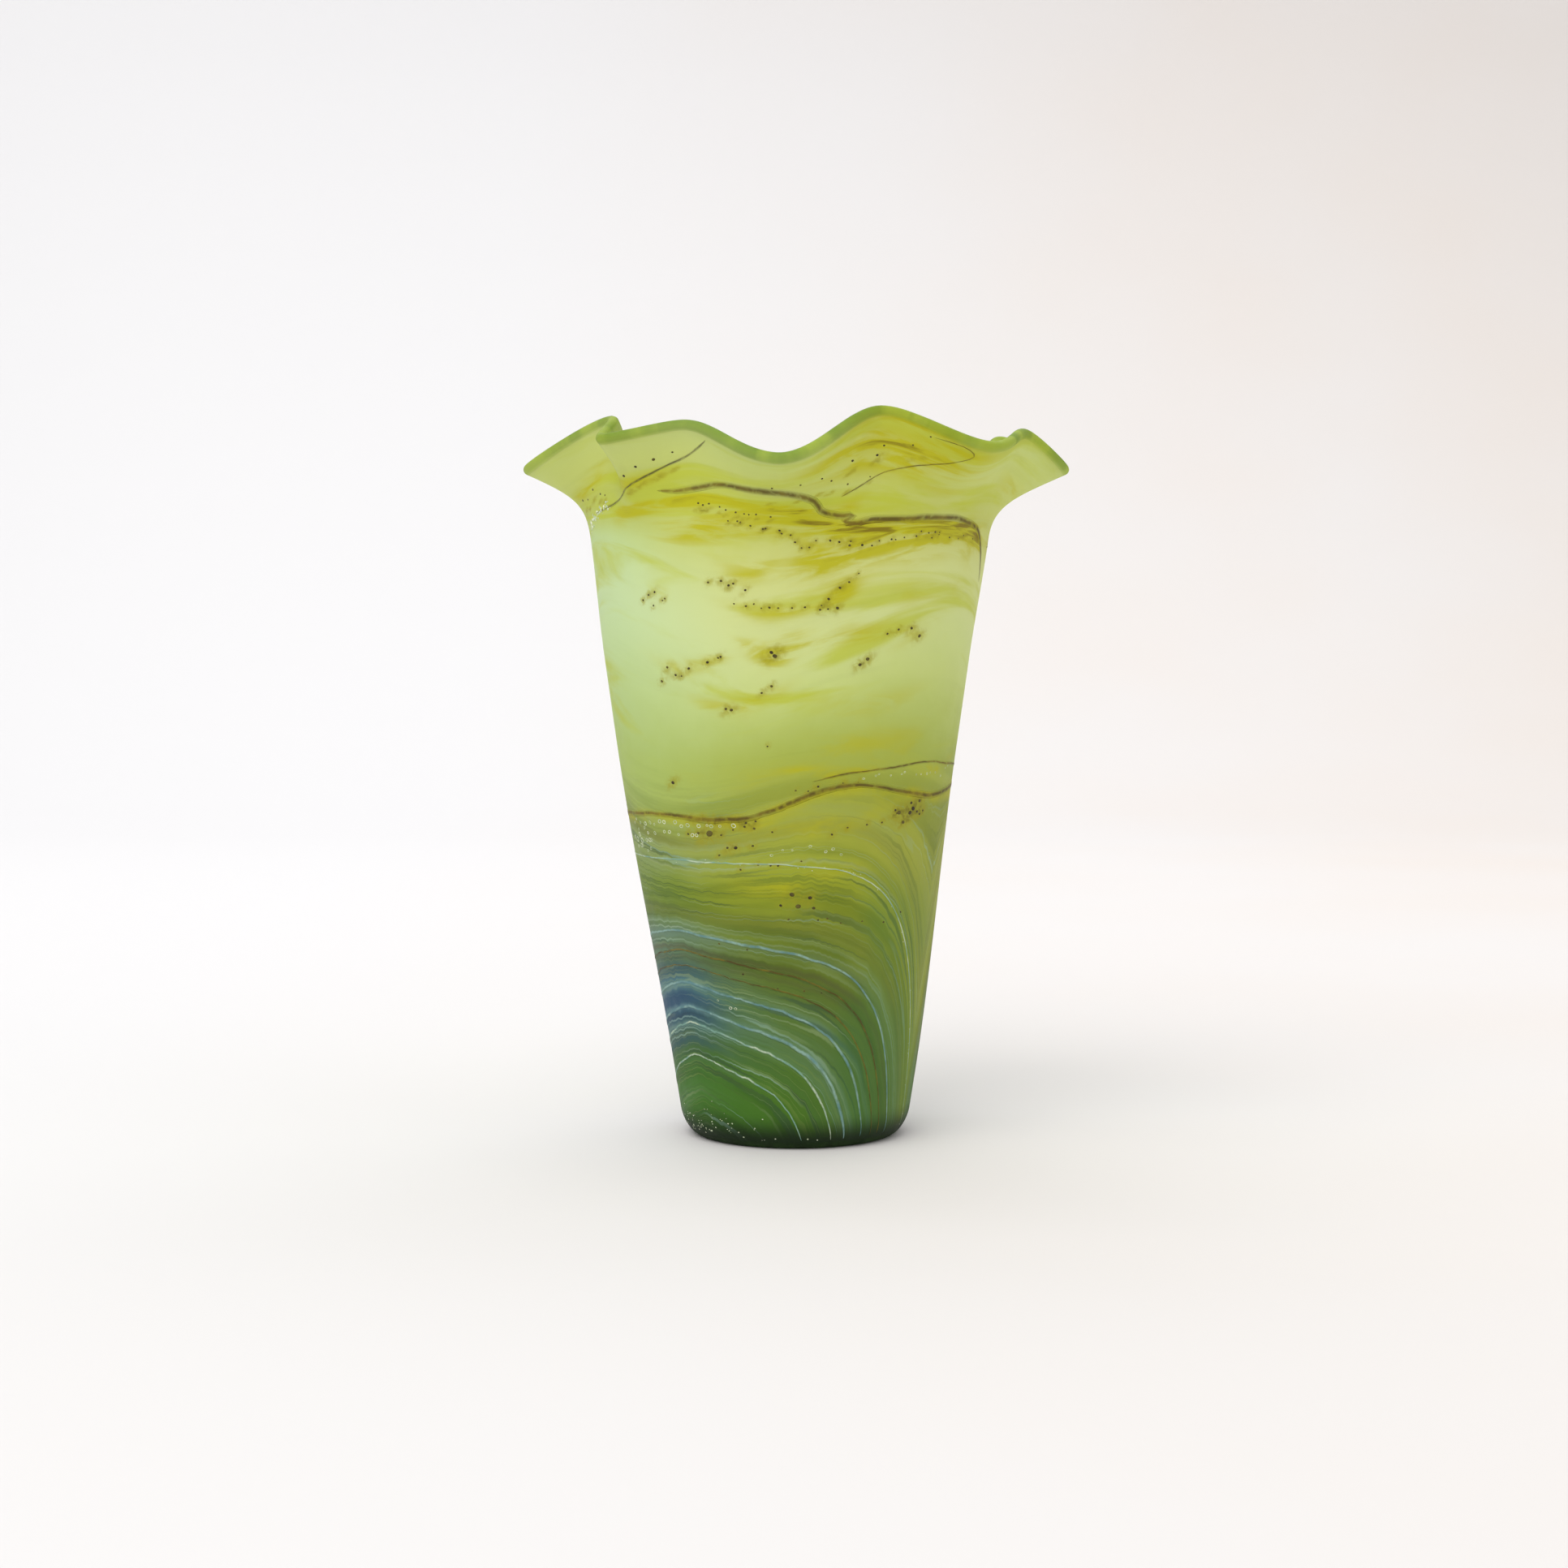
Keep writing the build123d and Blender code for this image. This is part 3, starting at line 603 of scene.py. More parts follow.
FINE_LINES = [              # seed, lines per mm, thinness, colour and strength
    (0.0, 0.16, 0.02, "3a5a3c", 0.55), (17.0, 0.22, 0.016, "b4cc94", 0.35),
    (31.0, 0.12, 0.012, "a6ccb8", 0.45), (47.0, 0.5, 0.05, "4f6e2c", 0.4),
    (63.0, 0.6, 0.04, "b0c46c", 0.25),
]
VEILS = [                   # crest, half width in mm, colour, strength, and its share on the right
    (36.5, 3.0, "356274", 0.7, 0.1), (42.0, 1.6, "8fb8b4", 0.4, 0.15), (45.0, 3.4, "2c506c", 0.85, 0.1),
    (38.4, 0.5, "a9cdbb", 0.7, 0.0), (40.2, 0.5, "a9cdbb", 0.7, 0.0), (44.0, 0.5, "9cc4bc", 0.7, 0.05),
    (47.6, 1.7, "88b4b4", 0.5, 0.3), (51.5, 3.8, "305878", 0.85, 0.05), (56.0, 2.0, "7cacb0", 0.5, 0.35),
    (60.5, 3.2, "3c6068", 0.65, 0.1), (65.0, 1.4, "4f4a34", 0.4, 0.8), (68.5, 1.6, "5a5238", 0.55, 1.0),
    (73.5, 2.8, "7d9c86", 0.6, 0.5), (70.8, 0.45, "a9c8a8", 0.6, 0.15), (75.2, 0.45, "b4ceac", 0.65, 0.4),
    (77.0, 0.45, "b4ceac", 0.55, 0.2), (77.5, 1.4, "9ab890", 0.4, 0.4), (81.0, 4.0, "7c7c34", 0.35, 0.8),
    (98.0, 0.9, "b8c890", 0.4, 1.0), (108.0, 3.8, "86843a", 0.6, 0.4), (113.5, 1.4, "a8b678", 0.4, 0.3),
]
CONE_ROWS = 110
ROW_CROWDING = 1.15         # rows crowd a little towards the heel
FLARE_ROWS = 48
CASING_COLUMNS = 540
CASING_END = 1.97           # station where the casing runs out in the lip
LIP_STEP = 0.54             # and how thick it still is there
SEAM_STATIONS = (
    1.9, 1.75, 1.55, 1.35, 1.15, 1.0, 0.85, 0.7, 0.55, 0.4, 0.28, 0.18, 0.11, 0.07, 0.045, 0.03, 0.02)


def share_where(tree, *conditions):
    """Share of the glass where every condition holds: a share, or a value eased in between limits."""
    share = None
    for condition in conditions:
        if isinstance(condition, tuple):
            condition = add_node(tree, RANGE, dict(enumerate(condition)), **EASED)
        if share is None:
            share = condition
        else:
            share = add_node(tree, MATH, {0: share, 1: condition}, operation="MULTIPLY")
    return share


def strata_colour(tree, stratum, table):
    """Colour ramp over the strata."""
    share = add_node(tree, MATH, {0: stratum, 1: 1 / TALLEST}, operation="MULTIPLY")
    colour = add_node(tree, "ShaderNodeValToRGB", {0: share})
    ramp = colour.node.color_ramp
    ramp.interpolation = "CARDINAL"
    ramp.elements.remove(ramp.elements[-1])
    for i, (crest, code) in enumerate(table):
        stop = ramp.elements[0] if i == 0 else ramp.elements.new(crest / TALLEST)
        stop.position = crest / TALLEST
        stop.color = linear(code)
    return colour


def marble_colour(tree):
    """Colour of the marbled skin, and the place on it that finer patterns follow."""
    flow = add_node(tree, STORED, give="Vector", attribute_name="flow")
    plain = add_node(tree, STORED, give="Vector", attribute_name="plain")
    amber = add_node(tree, STORED, give="Fac", attribute_name="amber")
    halo = add_node(tree, STORED, give="Fac", attribute_name="halo")
    drawn = add_node(tree, "ShaderNodeSeparateXYZ", {0: flow}).node.outputs
    height = add_node(tree, "ShaderNodeSeparateXYZ", {0: plain}, give=2)

    def drawn_out(place, across, up, detail, distortion=0.0, offset=0.0):
        """Uneven grain of so many lumps per mm across the strata's run and up through them."""
        stretch = {0: place, 1: (across, across, up), 2: (offset,) * 3}
        place = add_node(tree, VECTOR, stretch, operation="MULTIPLY_ADD")
        links = {"Vector": place, "Scale": 1.0, "Detail": detail, "Distortion": distortion}
        return add_node(tree, NOISE, links)

    # The strata waver: 40 mm swells and 9 mm ripples
    swell = add_node(tree, NOISE, {"Vector": plain, "Scale": 0.025, "Detail": 1.0})
    ripple = add_node(tree, NOISE, {"Vector": plain, "Scale": 0.11, "Detail": 2.0})
    swell = add_node(tree, MATH, {0: swell, 1: 7.0, 2: -3.5}, operation="MULTIPLY_ADD")
    ripple = add_node(tree, MATH, {0: ripple, 1: 5.0, 2: -2.5}, operation="MULTIPLY_ADD")
    stratum = add_node(tree, MATH, {0: drawn[2], 1: ripple}, operation="ADD")

    # Left and right of the front crest the mix differs, with a ragged border between
    rightward = (0.766 / FLOW_RADIUS, -0.643 / FLOW_RADIUS, 0)
    facing = add_node(tree, VECTOR, {0: plain, 1: rightward}, give="Value", operation="DOT_PRODUCT")
    facing = add_node(tree, MATH, {0: swell, 1: 0.06, 2: facing}, operation="MULTIPLY_ADD")
    left = strata_colour(tree, stratum, LEFT_SHADES)
    right = strata_colour(tree, stratum, RIGHT_SHADES)
    share = share_where(tree, (facing, -0.45, 0.6))
    colour = add_node(tree, MIX, {0: share, 6: left, 7: right}, **COLOURS)

    # Clouds of stronger yellow in the calm upper part, drawn out along the swags
    cloud = drawn_out(flow, 0.013, 0.07, 4.0, 0.9)
    cloud = share_where(tree, (cloud, 0.47, 0.66), (height, 120, 150), 0.75)
    colour = add_node(tree, MIX, {0: cloud, 6: colour, 7: linear("ccd438")}, **COLOURS)

    # Drawn-out streaks of aqua and of deeper green in the arches
    streak = drawn_out(flow, 0.01, 0.11, 4.0, 0.3)
    low = share_where(tree, (height, 145, 100, 0.15, 1.0))
    aqua = share_where(tree, (streak, 0.52, 0.68, 0.0, 0.12), low)
    colour = add_node(tree, MIX, {0: aqua, 6: colour, 7: linear("a4cba8")}, **COLOURS)
    deep = share_where(tree, (streak, 0.5, 0.34, 0.0, 0.35), low)
    wash = {0: deep, 6: colour, 7: linear("7e9a34")}
    colour = add_node(tree, MIX, wash, blend_type="MULTIPLY", **COLOURS)

    # Fine lines that follow the strata, with the same small kinks in all of them
    kink = drawn_out(flow, 0.22, 0.02, 2.0)
    kinked = add_node(tree, MATH, {0: kink, 1: KINK, 2: -KINK / 2}, operation="MULTIPLY_ADD")
    kinked = add_node(tree, MATH, {0: kinked, 1: drawn[2]}, operation="ADD")
    kinked_flow = add_node(tree, "ShaderNodeCombineXYZ", {0: drawn[0], 1: drawn[1], 2: kinked})
    low = share_where(tree, (height, 130, 95))
    for offset, closeness, thin, code, strength in FINE_LINES:
        line = drawn_out(kinked_flow, 0.004, closeness, 1.0, offset=offset)
        line = add_node(tree, MATH, {0: line, 1: 0.5}, operation="SUBTRACT")
        line = add_node(tree, MATH, {0: line}, operation="ABSOLUTE")
        patch = drawn_out(flow, 0.02, 0.06, 1.0, offset=3 * offset)
        share = share_where(tree, (patch, 0.42, 0.62), low, (line, thin, 0.3 * thin), strength)
        colour = add_node(tree, MIX, {0: share, 6: colour, 7: linear(code)}, **COLOURS)

    # Veils: the soft bands of colour that bled out of the threads
    uneven = share_where(tree, (streak, 0.3, 0.6, 0.6, 1.0))
    for crest, half, code, strength, right in VEILS:
        away = add_node(tree, MATH, {0: kinked, 1: crest}, operation="SUBTRACT")
        away = add_node(tree, MATH, {0: away}, operation="ABSOLUTE")
        share = share_where(tree, (away, half, 0.0), strength, uneven, (facing, -0.4, 0.4, 1.0, right))
        colour = add_node(tree, MIX, {0: share, 6: colour, 7: linear(code)}, **COLOURS)

    # Amber haze in drawn-out wisps, and the brown halo of every dark seed
    wisp = drawn_out(flow, 0.05, 0.2, 4.0, 0.7)
    haze = share_where(tree, amber, (wisp, 0.36, 0.62, 0.3, 1.0))
    mottle = add_node(tree, NOISE, {"Vector": plain, "Scale": 0.5, "Detail": 3.0, "Distortion": 0.5})
    halo = share_where(tree, halo, (mottle, 0.3, 0.65, 0.3, 1.0), (height, 75, 105, 0.2, 1.0))
    for stain, low, high, most, code in (
            (haze, 0.0, 0.75, 0.95, "ccc818"), (haze, 0.8, 1.7, 0.9, "8a7614"),
            (halo, 0.02, 0.7, 0.6, "b2aa22"), (halo, 0.6, 1.3, 0.55, "6e621c")):
        share = share_where(tree, (stain, low, high, 0.0, most))
        colour = add_node(tree, MIX, {0: share, 6: colour, 7: linear(code)}, **COLOURS)

    # Towards the right the low strata are a fresher green, because there is more green glass to see
    # through there. The foot is painted dark: partly the thicker green glass there, partly painted
    # shade where the heel turns under towards the table
    fresh = share_where(tree, (facing, 0.84, 1.0, 0.0, 0.42), (height, 105, 70))
    colour = add_node(tree, MIX, {0: fresh, 6: colour, 7: linear("4f8a3e")}, **COLOURS)
    # Painted shade and thick glass: the heel darkens towards the table
    foot = share_where(tree, (height, 13, 3.0, 0.0, 0.96))
    colour = add_node(tree, MIX, {0: foot, 6: colour, 7: linear("142a0c")}, **COLOURS)
    return colour, plain


def satin_glass(tree, colour, plain, glow):
    """Satin glass surface: soft gloss outside, and light that comes through from behind."""
    rough = add_node(tree, NOISE, {"Vector": plain, "Scale": 0.35, "Detail": 3.0})
    rough = add_node(tree, RANGE, {0: rough, 1: 0.3, 2: 0.7, 3: SATIN - SATIN_DRIFT, 4: SATIN + SATIN_DRIFT})
    bite = add_node(tree, NOISE, {"Vector": plain, "Scale": 2.4, "Detail": 2.0})
    wave = add_node(tree, NOISE, {"Vector": plain, "Scale": 0.06, "Detail": 2.0})
    bite = add_node(tree, MATH, {0: bite, 1: 0.012}, operation="MULTIPLY")
    uneven = add_node(tree, MATH, {0: wave, 1: 0.5, 2: bite}, operation="MULTIPLY_ADD")
    bump = add_node(tree, "ShaderNodeBump", {"Height": uneven, "Distance": MM, "Strength": 0.6})
    gloss = add_node(tree, "ShaderNodeBsdfPrincipled", {
        "Base Color": colour, "Roughness": rough, "Normal": bump, "IOR": GLASS_IOR,
        "Specular IOR Level": GLOSS})
    through = add_node(tree, "ShaderNodeBsdfTranslucent", {"Color": colour, "Normal": bump})
    return add_node(tree, "ShaderNodeMixShader", {0: glow, 1: gloss, 2: through})


def make_marbled_satin():
    """Marbled glass, satin: milky colours with a soft sheen, that glow where light comes through."""
    material, tree = new_material("marbled glass, satin")
    colour, plain = marble_colour(tree)
    add_node(tree, "ShaderNodeOutputMaterial", {0: satin_glass(tree, colour, plain, CASING_GLOW)})
    return material


def make_clear_seam():
    """Fused seam, clear: where casing and gather are one glass, nothing is to be seen."""
    material, tree = new_material("fused seam, clear")
    place = add_node(tree, "ShaderNodeTexCoord", give="Object")
    faint = add_node(tree, NOISE, {"Vector": place, "Scale": 200.0})
    tint = add_node(tree, MIX, {0: faint, 6: linear("7c9a4a"), 7: linear("8aa85a")}, **COLOURS)
    gloss = add_node(tree, "ShaderNodeBsdfPrincipled", {"Base Color": tint, "Roughness": SATIN, "Alpha": 0.0})
    add_node(tree, "ShaderNodeOutputMaterial", {0: gloss})
    return material


marbled_satin = make_marbled_satin()
clear_seam = make_clear_seam()


def casing_depth(height):
    """Thickness of the casing over the cone: it thins out to nothing at the heel."""
    return CASING * float(smooth(HEEL_EDGE, HEEL_HEIGHT, height))


def make_casing():
    """Marbled casing: outside from heel to lip, and back down its fused inner side."""
    edge = HEEL_EDGE / NECK_HEIGHT
    outside = [edge + (1 - edge) * (i / CONE_ROWS) ** ROW_CROWDING for i in range(CONE_ROWS)]
    outside += [1 + i / FLARE_ROWS for i in range(FLARE_ROWS)] + [CASING_END]
    rows = [(station, 0.0, 0.0, 0, 0, 0) for station in outside]
    rows.append((CASING_END, LIP_STEP, 0.0, 0, 0, 0))
    rows += [(station, casing_depth(station * NECK_HEIGHT), 0.0, 0, 0, 0) for station in SEAM_STATIONS]
    fields = wall_fields(rows, CASING_COLUMNS)
    colour_fields(fields)
    stain_fields(fields)
    source = draw_blank("marbled_casing", fields, True, range(len(outside) - 1, len(rows)))
    values = SKIN_SIZES | {"Glass": marbled_satin, "Seam": clear_seam}
    return shaped_by(laying_tree, source, "marbled_casing", values, ("flow", "plain", "amber", "halo"), True)


casing = make_casing()
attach(casing, "root")
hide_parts("outer_casing")

# ---------------------------------------------------------------------------
# Green gather: the thick bubble of clear green glass that the pipe picked up first. It is
# the inner wall, the floor, the foot with the hollow under it, and the rounded lip.
# Satin on the outside and inside alike, because the whole vase went into the acid.
GATHER_COLUMNS = 360
KICK_RADIUS = 20.0          # hollow under the foot, pressed in to keep the pontil scar off the table
KICK_DEPTH = 2.2
FLOOR_HEIGHT = 10.0
FLOOR_RADIUS = 24.0
FLOOR_ROUND = 10.0
SEAM_ROOM = 0.02            # hair of room between gather and casing
LIP_FLUSH = 0.03            # how far below the casing the gather comes out, next to the lip
HEEL_ROWS = 8
LIP_ROWS = 12
MOUTH_ROWS = 40
WALL_ROWS = 70
ROUND_ROWS = 10


def hollow_height(radius):
    """Height of the domed hollow under the foot."""
    dome = (KICK_RADIUS**2 + KICK_DEPTH**2) / (2 * KICK_DEPTH)
    return KICK_DEPTH - dome + math.sqrt(dome**2 - radius**2)


def make_green_satin():
    """Green glass, satin: saturated at the lip, foot dark with painted shade, paler where light comes
    through.
    """
    material, tree = new_material("green glass, satin")
    colour, plain = marble_colour(tree)
    streak = add_node(tree, NOISE, {"Vector": plain, "Scale": 0.09, "Detail": 3.0, "Distortion": 0.8})
    # The foot's dark green is partly the thick glass there and partly painted shade where the heel turns
    # under
    for part, low, high, deep, pale in (
            ("edge", 0.4, 0.6, "7a9c1c", "a6bc3c"), ("foot", 0.3, 0.7, "24400f", "3c6222")):
        share = add_node(tree, STORED, give="Fac", attribute_name=part)
        patch = share_where(tree, (streak, low, high))
        green = add_node(tree, MIX, {0: patch, 6: linear(deep), 7: linear(pale)}, **COLOURS)
        colour = add_node(tree, MIX, {0: share, 6: colour, 7: green}, **COLOURS)
    add_node(tree, "ShaderNodeOutputMaterial", {0: satin_glass(tree, colour, plain, GATHER_GLOW)})
    return material


green_satin = make_green_satin()


def make_gather():
    """Green gather: hollow, foot, fused side, lip, inner wall and floor in one run."""
    rows, edge, foot = [], [], []

    def row(station=0.0, depth=0.0, past=0.0, ring=None, at_edge=0.0, at_foot=0.0):
        level = (1, ring[0], ring[1]) if ring else (0, 0, 0)
        rows.append((station, depth, past, *level))
        edge.append(at_edge)
        foot.append(at_foot)

    for r in (0.0, 2, 4, 7, 10, 13, 16, 18, 19.4, KICK_RADIUS):
        row(ring=(r, hollow_height(r)), at_foot=1.0)
    for r in (20.6, 23, 26, 29, 32):
        row(ring=(r, 0.0), at_foot=1.0)
    # Up the heel the foot's dark green, partly painted shade, fades out
    for i in range(HEEL_ROWS + 1):
        row(HEEL_EDGE / NECK_HEIGHT * (i / HEEL_ROWS) ** 1.8, at_foot=1.0 - 0.1 * i)
    seam_start = len(rows) - 1
    for z in (3.2, 4, 5, 6.5, 9, 14, 22, 34, 50, 70, 95, 120, 150, 180, 196):
        row(z / NECK_HEIGHT, (CASING + SEAM_ROOM) * float(smooth(HEEL_EDGE, HEEL_HEIGHT, z)))
    for station in (1.0, 1.15, 1.3, 1.45, 1.6, 1.75, 1.87, CASING_END):
        row(station, CASING + SEAM_ROOM)
    row(CASING_END, LIP_FLUSH)
    seam_end = len(rows) - 1
    for i in range(LIP_ROWS + 1):
        turn = math.pi * i / LIP_ROWS
        depth, past = WALL / 2 * (1 - math.cos(turn)), WALL / 2 * math.sin(turn)
        row(2.0, depth, past, at_edge=0.55 + 0.4 * math.sin(turn / 2))
    for i in range(1, MOUTH_ROWS + 1):
        station = 2 - i / MOUTH_ROWS
        row(station, WALL, at_edge=float(smooth(1.88, CASING_END, station)) * 0.6)
    for i in range(1, WALL_ROWS + 1):
        row((NECK_HEIGHT - (NECK_HEIGHT - FLOOR_HEIGHT - FLOOR_ROUND) * i / WALL_ROWS) / NECK_HEIGHT, WALL)
    for i in range(1, ROUND_ROWS + 1):
        turn = math.pi / 2 * i / ROUND_ROWS
        z = FLOOR_HEIGHT + FLOOR_ROUND * (1 - math.sin(turn))
        row(ring=(FLOOR_RADIUS + (cone_radius(z) - WALL - FLOOR_RADIUS) * math.cos(turn), z))
    for r in (20, 16, 12, 8, 4, 0.0):
        row(ring=(r, FLOOR_HEIGHT))

    fields = wall_fields(rows, GATHER_COLUMNS)
    colour_fields(fields)
    stain_fields(fields)
    fields["edge"] = np.tile(np.array(edge)[:, None], (1, GATHER_COLUMNS))
    fields["foot"] = np.tile(np.array(foot)[:, None], (1, GATHER_COLUMNS))
    source = draw_blank("green_gather", fields, False, range(seam_start, seam_end))
    values = SKIN_SIZES | {"Glass": green_satin, "Seam": clear_seam}
    keep = ("flow", "plain", "amber", "halo", "edge", "foot")
    return shaped_by(laying_tree, source, "green_gather", values, keep, True)


gather = make_gather()
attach(gather, "root")
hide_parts("inner_gather")

# ---------------------------------------------------------------------------
# Coloured threads: thin rods of white, blue and brown glass, drawn on hot and rolled in
# until they lie nearly level with the skin. Their edges melt into the marbled glass.
# They replace the frame's trails, and follow the same routes.
THREAD_CROWN = 0.10         # how far a thread stands above the skin
THREAD_SINK = 0.15          # and how deep it lies in it
THREAD_SIDES = 8
THREAD_END = 0.08           # share of its length over which a thread thins out at either end
ARCH_STEPS = 220
ARCH_ROUND = 0.08           # share of an arch's half span over which its top is rounded


def lip_height(azimuth):
    """Height of the lip's crest."""
    height = np.full(np.shape(azimuth), LIP[0][2])
    for (a0, _, z0), (a1, _, z1) in zip(LIP, LIP[1:]):
        height = height + (z1 - z0) * smooth(a0, a1, azimuth)
    return height


def station_at(azimuth, height):
    """Station where the skin reaches a height."""
    tip = lip_height(azimuth)
    share = np.clip((tip - LOBE_TIP) / (RIDGE_TIP - LOBE_TIP), 0, 1)
    steep = np.sin(np.radians(LOBE_SLOPE + (RIDGE_SLOPE - LOBE_SLOPE) * share))
    top = tip - WALL / 2 * steep
    pulled = top - (LOBE_PULL + (RIDGE_PULL - LOBE_PULL) * share) * steep
    t = np.linspace(0, 1, 80)
    stations = np.empty(len(azimuth))
    for i, up in enumerate(height):
        bend = (
            NECK_HEIGHT * (1 - t) ** 3 + 3 * (NECK_HEIGHT + FLARE_START) * t * (1 - t) ** 2
            + 3 * pulled[i] * t**2 * (1 - t) + top[i] * t**3)
        stations[i] = up / NECK_HEIGHT if up <= NECK_HEIGHT else 1 + np.interp(up, bend, t)
    return stations


def arch_route(crest):
    """Route of an arch: azimuths and heights from one foot over the crest to the other."""
    side = np.sin(math.pi * (np.arange(ARCH_STEPS + 1) / ARCH_STEPS - 0.5))
    sag = arch_sag(crest) * np.where(side < 0, 1.3, 1.0)
    run = (np.hypot(side, ARCH_ROUND) - ARCH_ROUND) / (math.hypot(1, ARCH_ROUND) - ARCH_ROUND)
    height = crest * arch_share(run, sag)
    keep = height > HEEL_EDGE + 0.5
    return (CREST + side * arch_span(crest))[keep], height[keep]


def band_route(points, step=1.2):
    """Route of a band: a smooth curve through a few points of azimuth and height."""
    points = np.array(points, float)
    padded = np.vstack([2 * points[0] - points[1], points, 2 * points[-1] - points[-2]])
    route = []
    for p0, p1, p2, p3 in zip(padded, padded[1:], padded[2:], padded[3:]):
        count = max(2, int(np.hypot(*(p2 - p1)) / step))
        for t in np.arange(count)[:, None] / count:
            bend, twist = 2 * p0 - 5 * p1 + 4 * p2 - p3, 3 * p1 - p0 - 3 * p2 + p3
            route.append(0.5 * (2 * p1 + (p2 - p0) * t + bend * t**2 + twist * t**3))
    route = np.vstack(route + [points[-1:]])
    return route[:, 0], route[:, 1]


def lay_thread(name, route, width, material, node, rng, waver=0.35):
    """Lay one thread on the skin: a flat ribbon of glass, thin at both ends."""
    azimuth, height = route
    count = len(azimuth)
    order = np.arange(count)
    wander = np.convolve(rng.normal(0, 1, count + 8), np.ones(5) / 5, "same")[4:-4]
    slow = np.interp(order, np.linspace(0, count, 14), rng.uniform(0.7, 1.2, 14))
    ends = np.minimum(1, np.minimum(order, order[::-1]) / (THREAD_END * count))
    height = height + waver * wander * ends
    station = station_at(azimuth, height)
    half = width / 2 * slow * np.sqrt(ends)
    half[[0, -1]] = 0
    corner = np.arange(THREAD_SIDES) * 2 * math.pi / THREAD_SIDES
    depth = np.maximum(np.sin(corner), 0) * -THREAD_CROWN + np.maximum(-np.sin(corner), 0) * THREAD_SINK
    along = {
        "azimuth": azimuth, "station": station, "heading": np.gradient(azimuth) / (2 * ROUND_STEP),
        "climb": np.gradient(station) / (2 * UP_STEP), "past": 0 * azimuth, "level": 0 * azimuth,
        "level_radius": 0 * azimuth, "level_height": 0 * azimuth}
    fields = {field: np.tile(values[:, None], (1, THREAD_SIDES)) for field, values in along.items()}
    fields["depth"] = np.where(half[:, None] > 0, depth, 0.0)
    fields["across"] = half[:, None] * np.cos(corner)
    fields["core"] = np.tile(1 - np.abs(np.cos(corner)), (count, 1))
    colour_fields(fields)
    stain_fields(fields)
    source = draw_blank(name, fields, False)
    keep = ("flow", "plain", "amber", "halo", "core")
    piece = shaped_by(laying_tree, source, name, SKIN_SIZES | {"Glass": material, "Seam": clear_seam}, keep)
    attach(piece, "root")
    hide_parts(node)


def make_thread_satin(name, pale, deep, strength):
    """Thread glass, satin: two shades in patches, melting into the marbled glass at the edges."""
    material, tree = new_material(name)
    colour, plain = marble_colour(tree)
    core = add_node(tree, STORED, give="Fac", attribute_name="core")
    patch = add_node(tree, NOISE, {"Vector": plain, "Scale": 0.09, "Detail": 3.0, "Distortion": 0.6})
    patch = share_where(tree, (patch, 0.38, 0.62))
    thread = add_node(tree, MIX, {0: patch, 6: linear(deep), 7: linear(pale)}, **COLOURS)
    gaps = add_node(tree, NOISE, {"Vector": plain, "Scale": 0.45, "Detail": 2.0})
    share = share_where(tree, (core, 0.0, 0.95), (gaps, 0.3, 0.55, 0.55 * strength, strength))
    colour = add_node(tree, MIX, {0: share, 6: colour, 7: thread}, **COLOURS)
    add_node(tree, "ShaderNodeOutputMaterial", {0: satin_glass(tree, colour, plain, CASING_GLOW)})
    return material


white_thread = make_thread_satin("white thread glass, satin", "dceed2", "94c2b2", 1.0)
blue_thread = make_thread_satin("pale blue thread glass, satin", "a9cfc6", "74a3a8", 0.9)
brown_thread = make_thread_satin("brown thread glass, satin", "8e7a22", "5e4a1c", 0.9)
slate_thread = make_thread_satin("slate thread glass, satin", "7c7a44", "48402a", 0.9)

ARCHES = [                  # name, crest, width, glass, the frame's trail, finish slot
    ("white_arch_low_front", 31.0, 0.95, white_thread, "white_arch_inner", "white_thread"),
    ("white_arch_second", 42.0, 1.0, white_thread, "white_arch_low", "white_thread"),
    ("blue_arch_third", 47.6, 1.5, blue_thread, "blue_arch_low", "blue_thread"),
    ("blue_arch_fourth", 56.0, 1.4, blue_thread, "blue_arch_middle", "blue_thread"),
    ("olive_arch_fine", 62.0, 0.8, brown_thread, "olive_arch", "brown_thread"),
    ("brown_arch_fine", 67.0, 0.9, brown_thread, "brown_arch", "brown_thread"),
    ("pale_arch_broad", 73.5, 1.4, blue_thread, "pale_blue_arch", "blue_thread"),
    ("white_arch_outside", 98.0, 0.7, white_thread, "white_arch_outer", "white_thread"),
]
BANDS = [                   # name, width, glass, the frame's trail, finish slot, azimuths and heights
    ("belt_brown", 2.5, brown_thread, "brown_belt", "brown_thread", [
        (-150, 106), (-120, 109), (-90, 111), (-50, 113), (-26, 112), (-10, 114), (2, 118.5), (14, 122.5),
        (26, 123.5), (42, 121), (60, 119), (85, 121), (110, 119)]),
    ("belt_hairline", 1.1, brown_thread, "hairline_belt", "brown_thread", [
        (8, 125), (20, 127.6), (36, 129), (53, 130.5), (72, 129), (95, 128), (120, 131), (145, 130)]),
    ("trail_shoulder", 3.0, brown_thread, "shoulder_trail", "brown_thread", [
        (-38, 219.5), (-31, 219.4), (-20, 221), (-10, 219), (0, 217.5), (6, 215.5), (8, 212.6),
        (12.5, 211.2), (17, 211.5), (14.6, 209.2), (18.4, 208.8), (22.6, 210), (34, 210.4), (46, 211.2),
        (58, 210), (66, 207.5), (71, 202), (74, 196), (76, 190)]),
    ("stringer_left", 1.0, slate_thread, "left_stringer", "slate_thread", [
        (-71, 213), (-62, 215), (-54, 217.6), (-44, 222.3), (-36, 226.5), (-28, 231), (-22, 235)]),
    ("hairline_right", 0.6, brown_thread, "right_hairline", "brown_thread", [
        (13, 217), (18, 220.5), (24, 225), (31, 227), (39, 228), (42.5, 230), (39, 233), (33, 236)]),
]
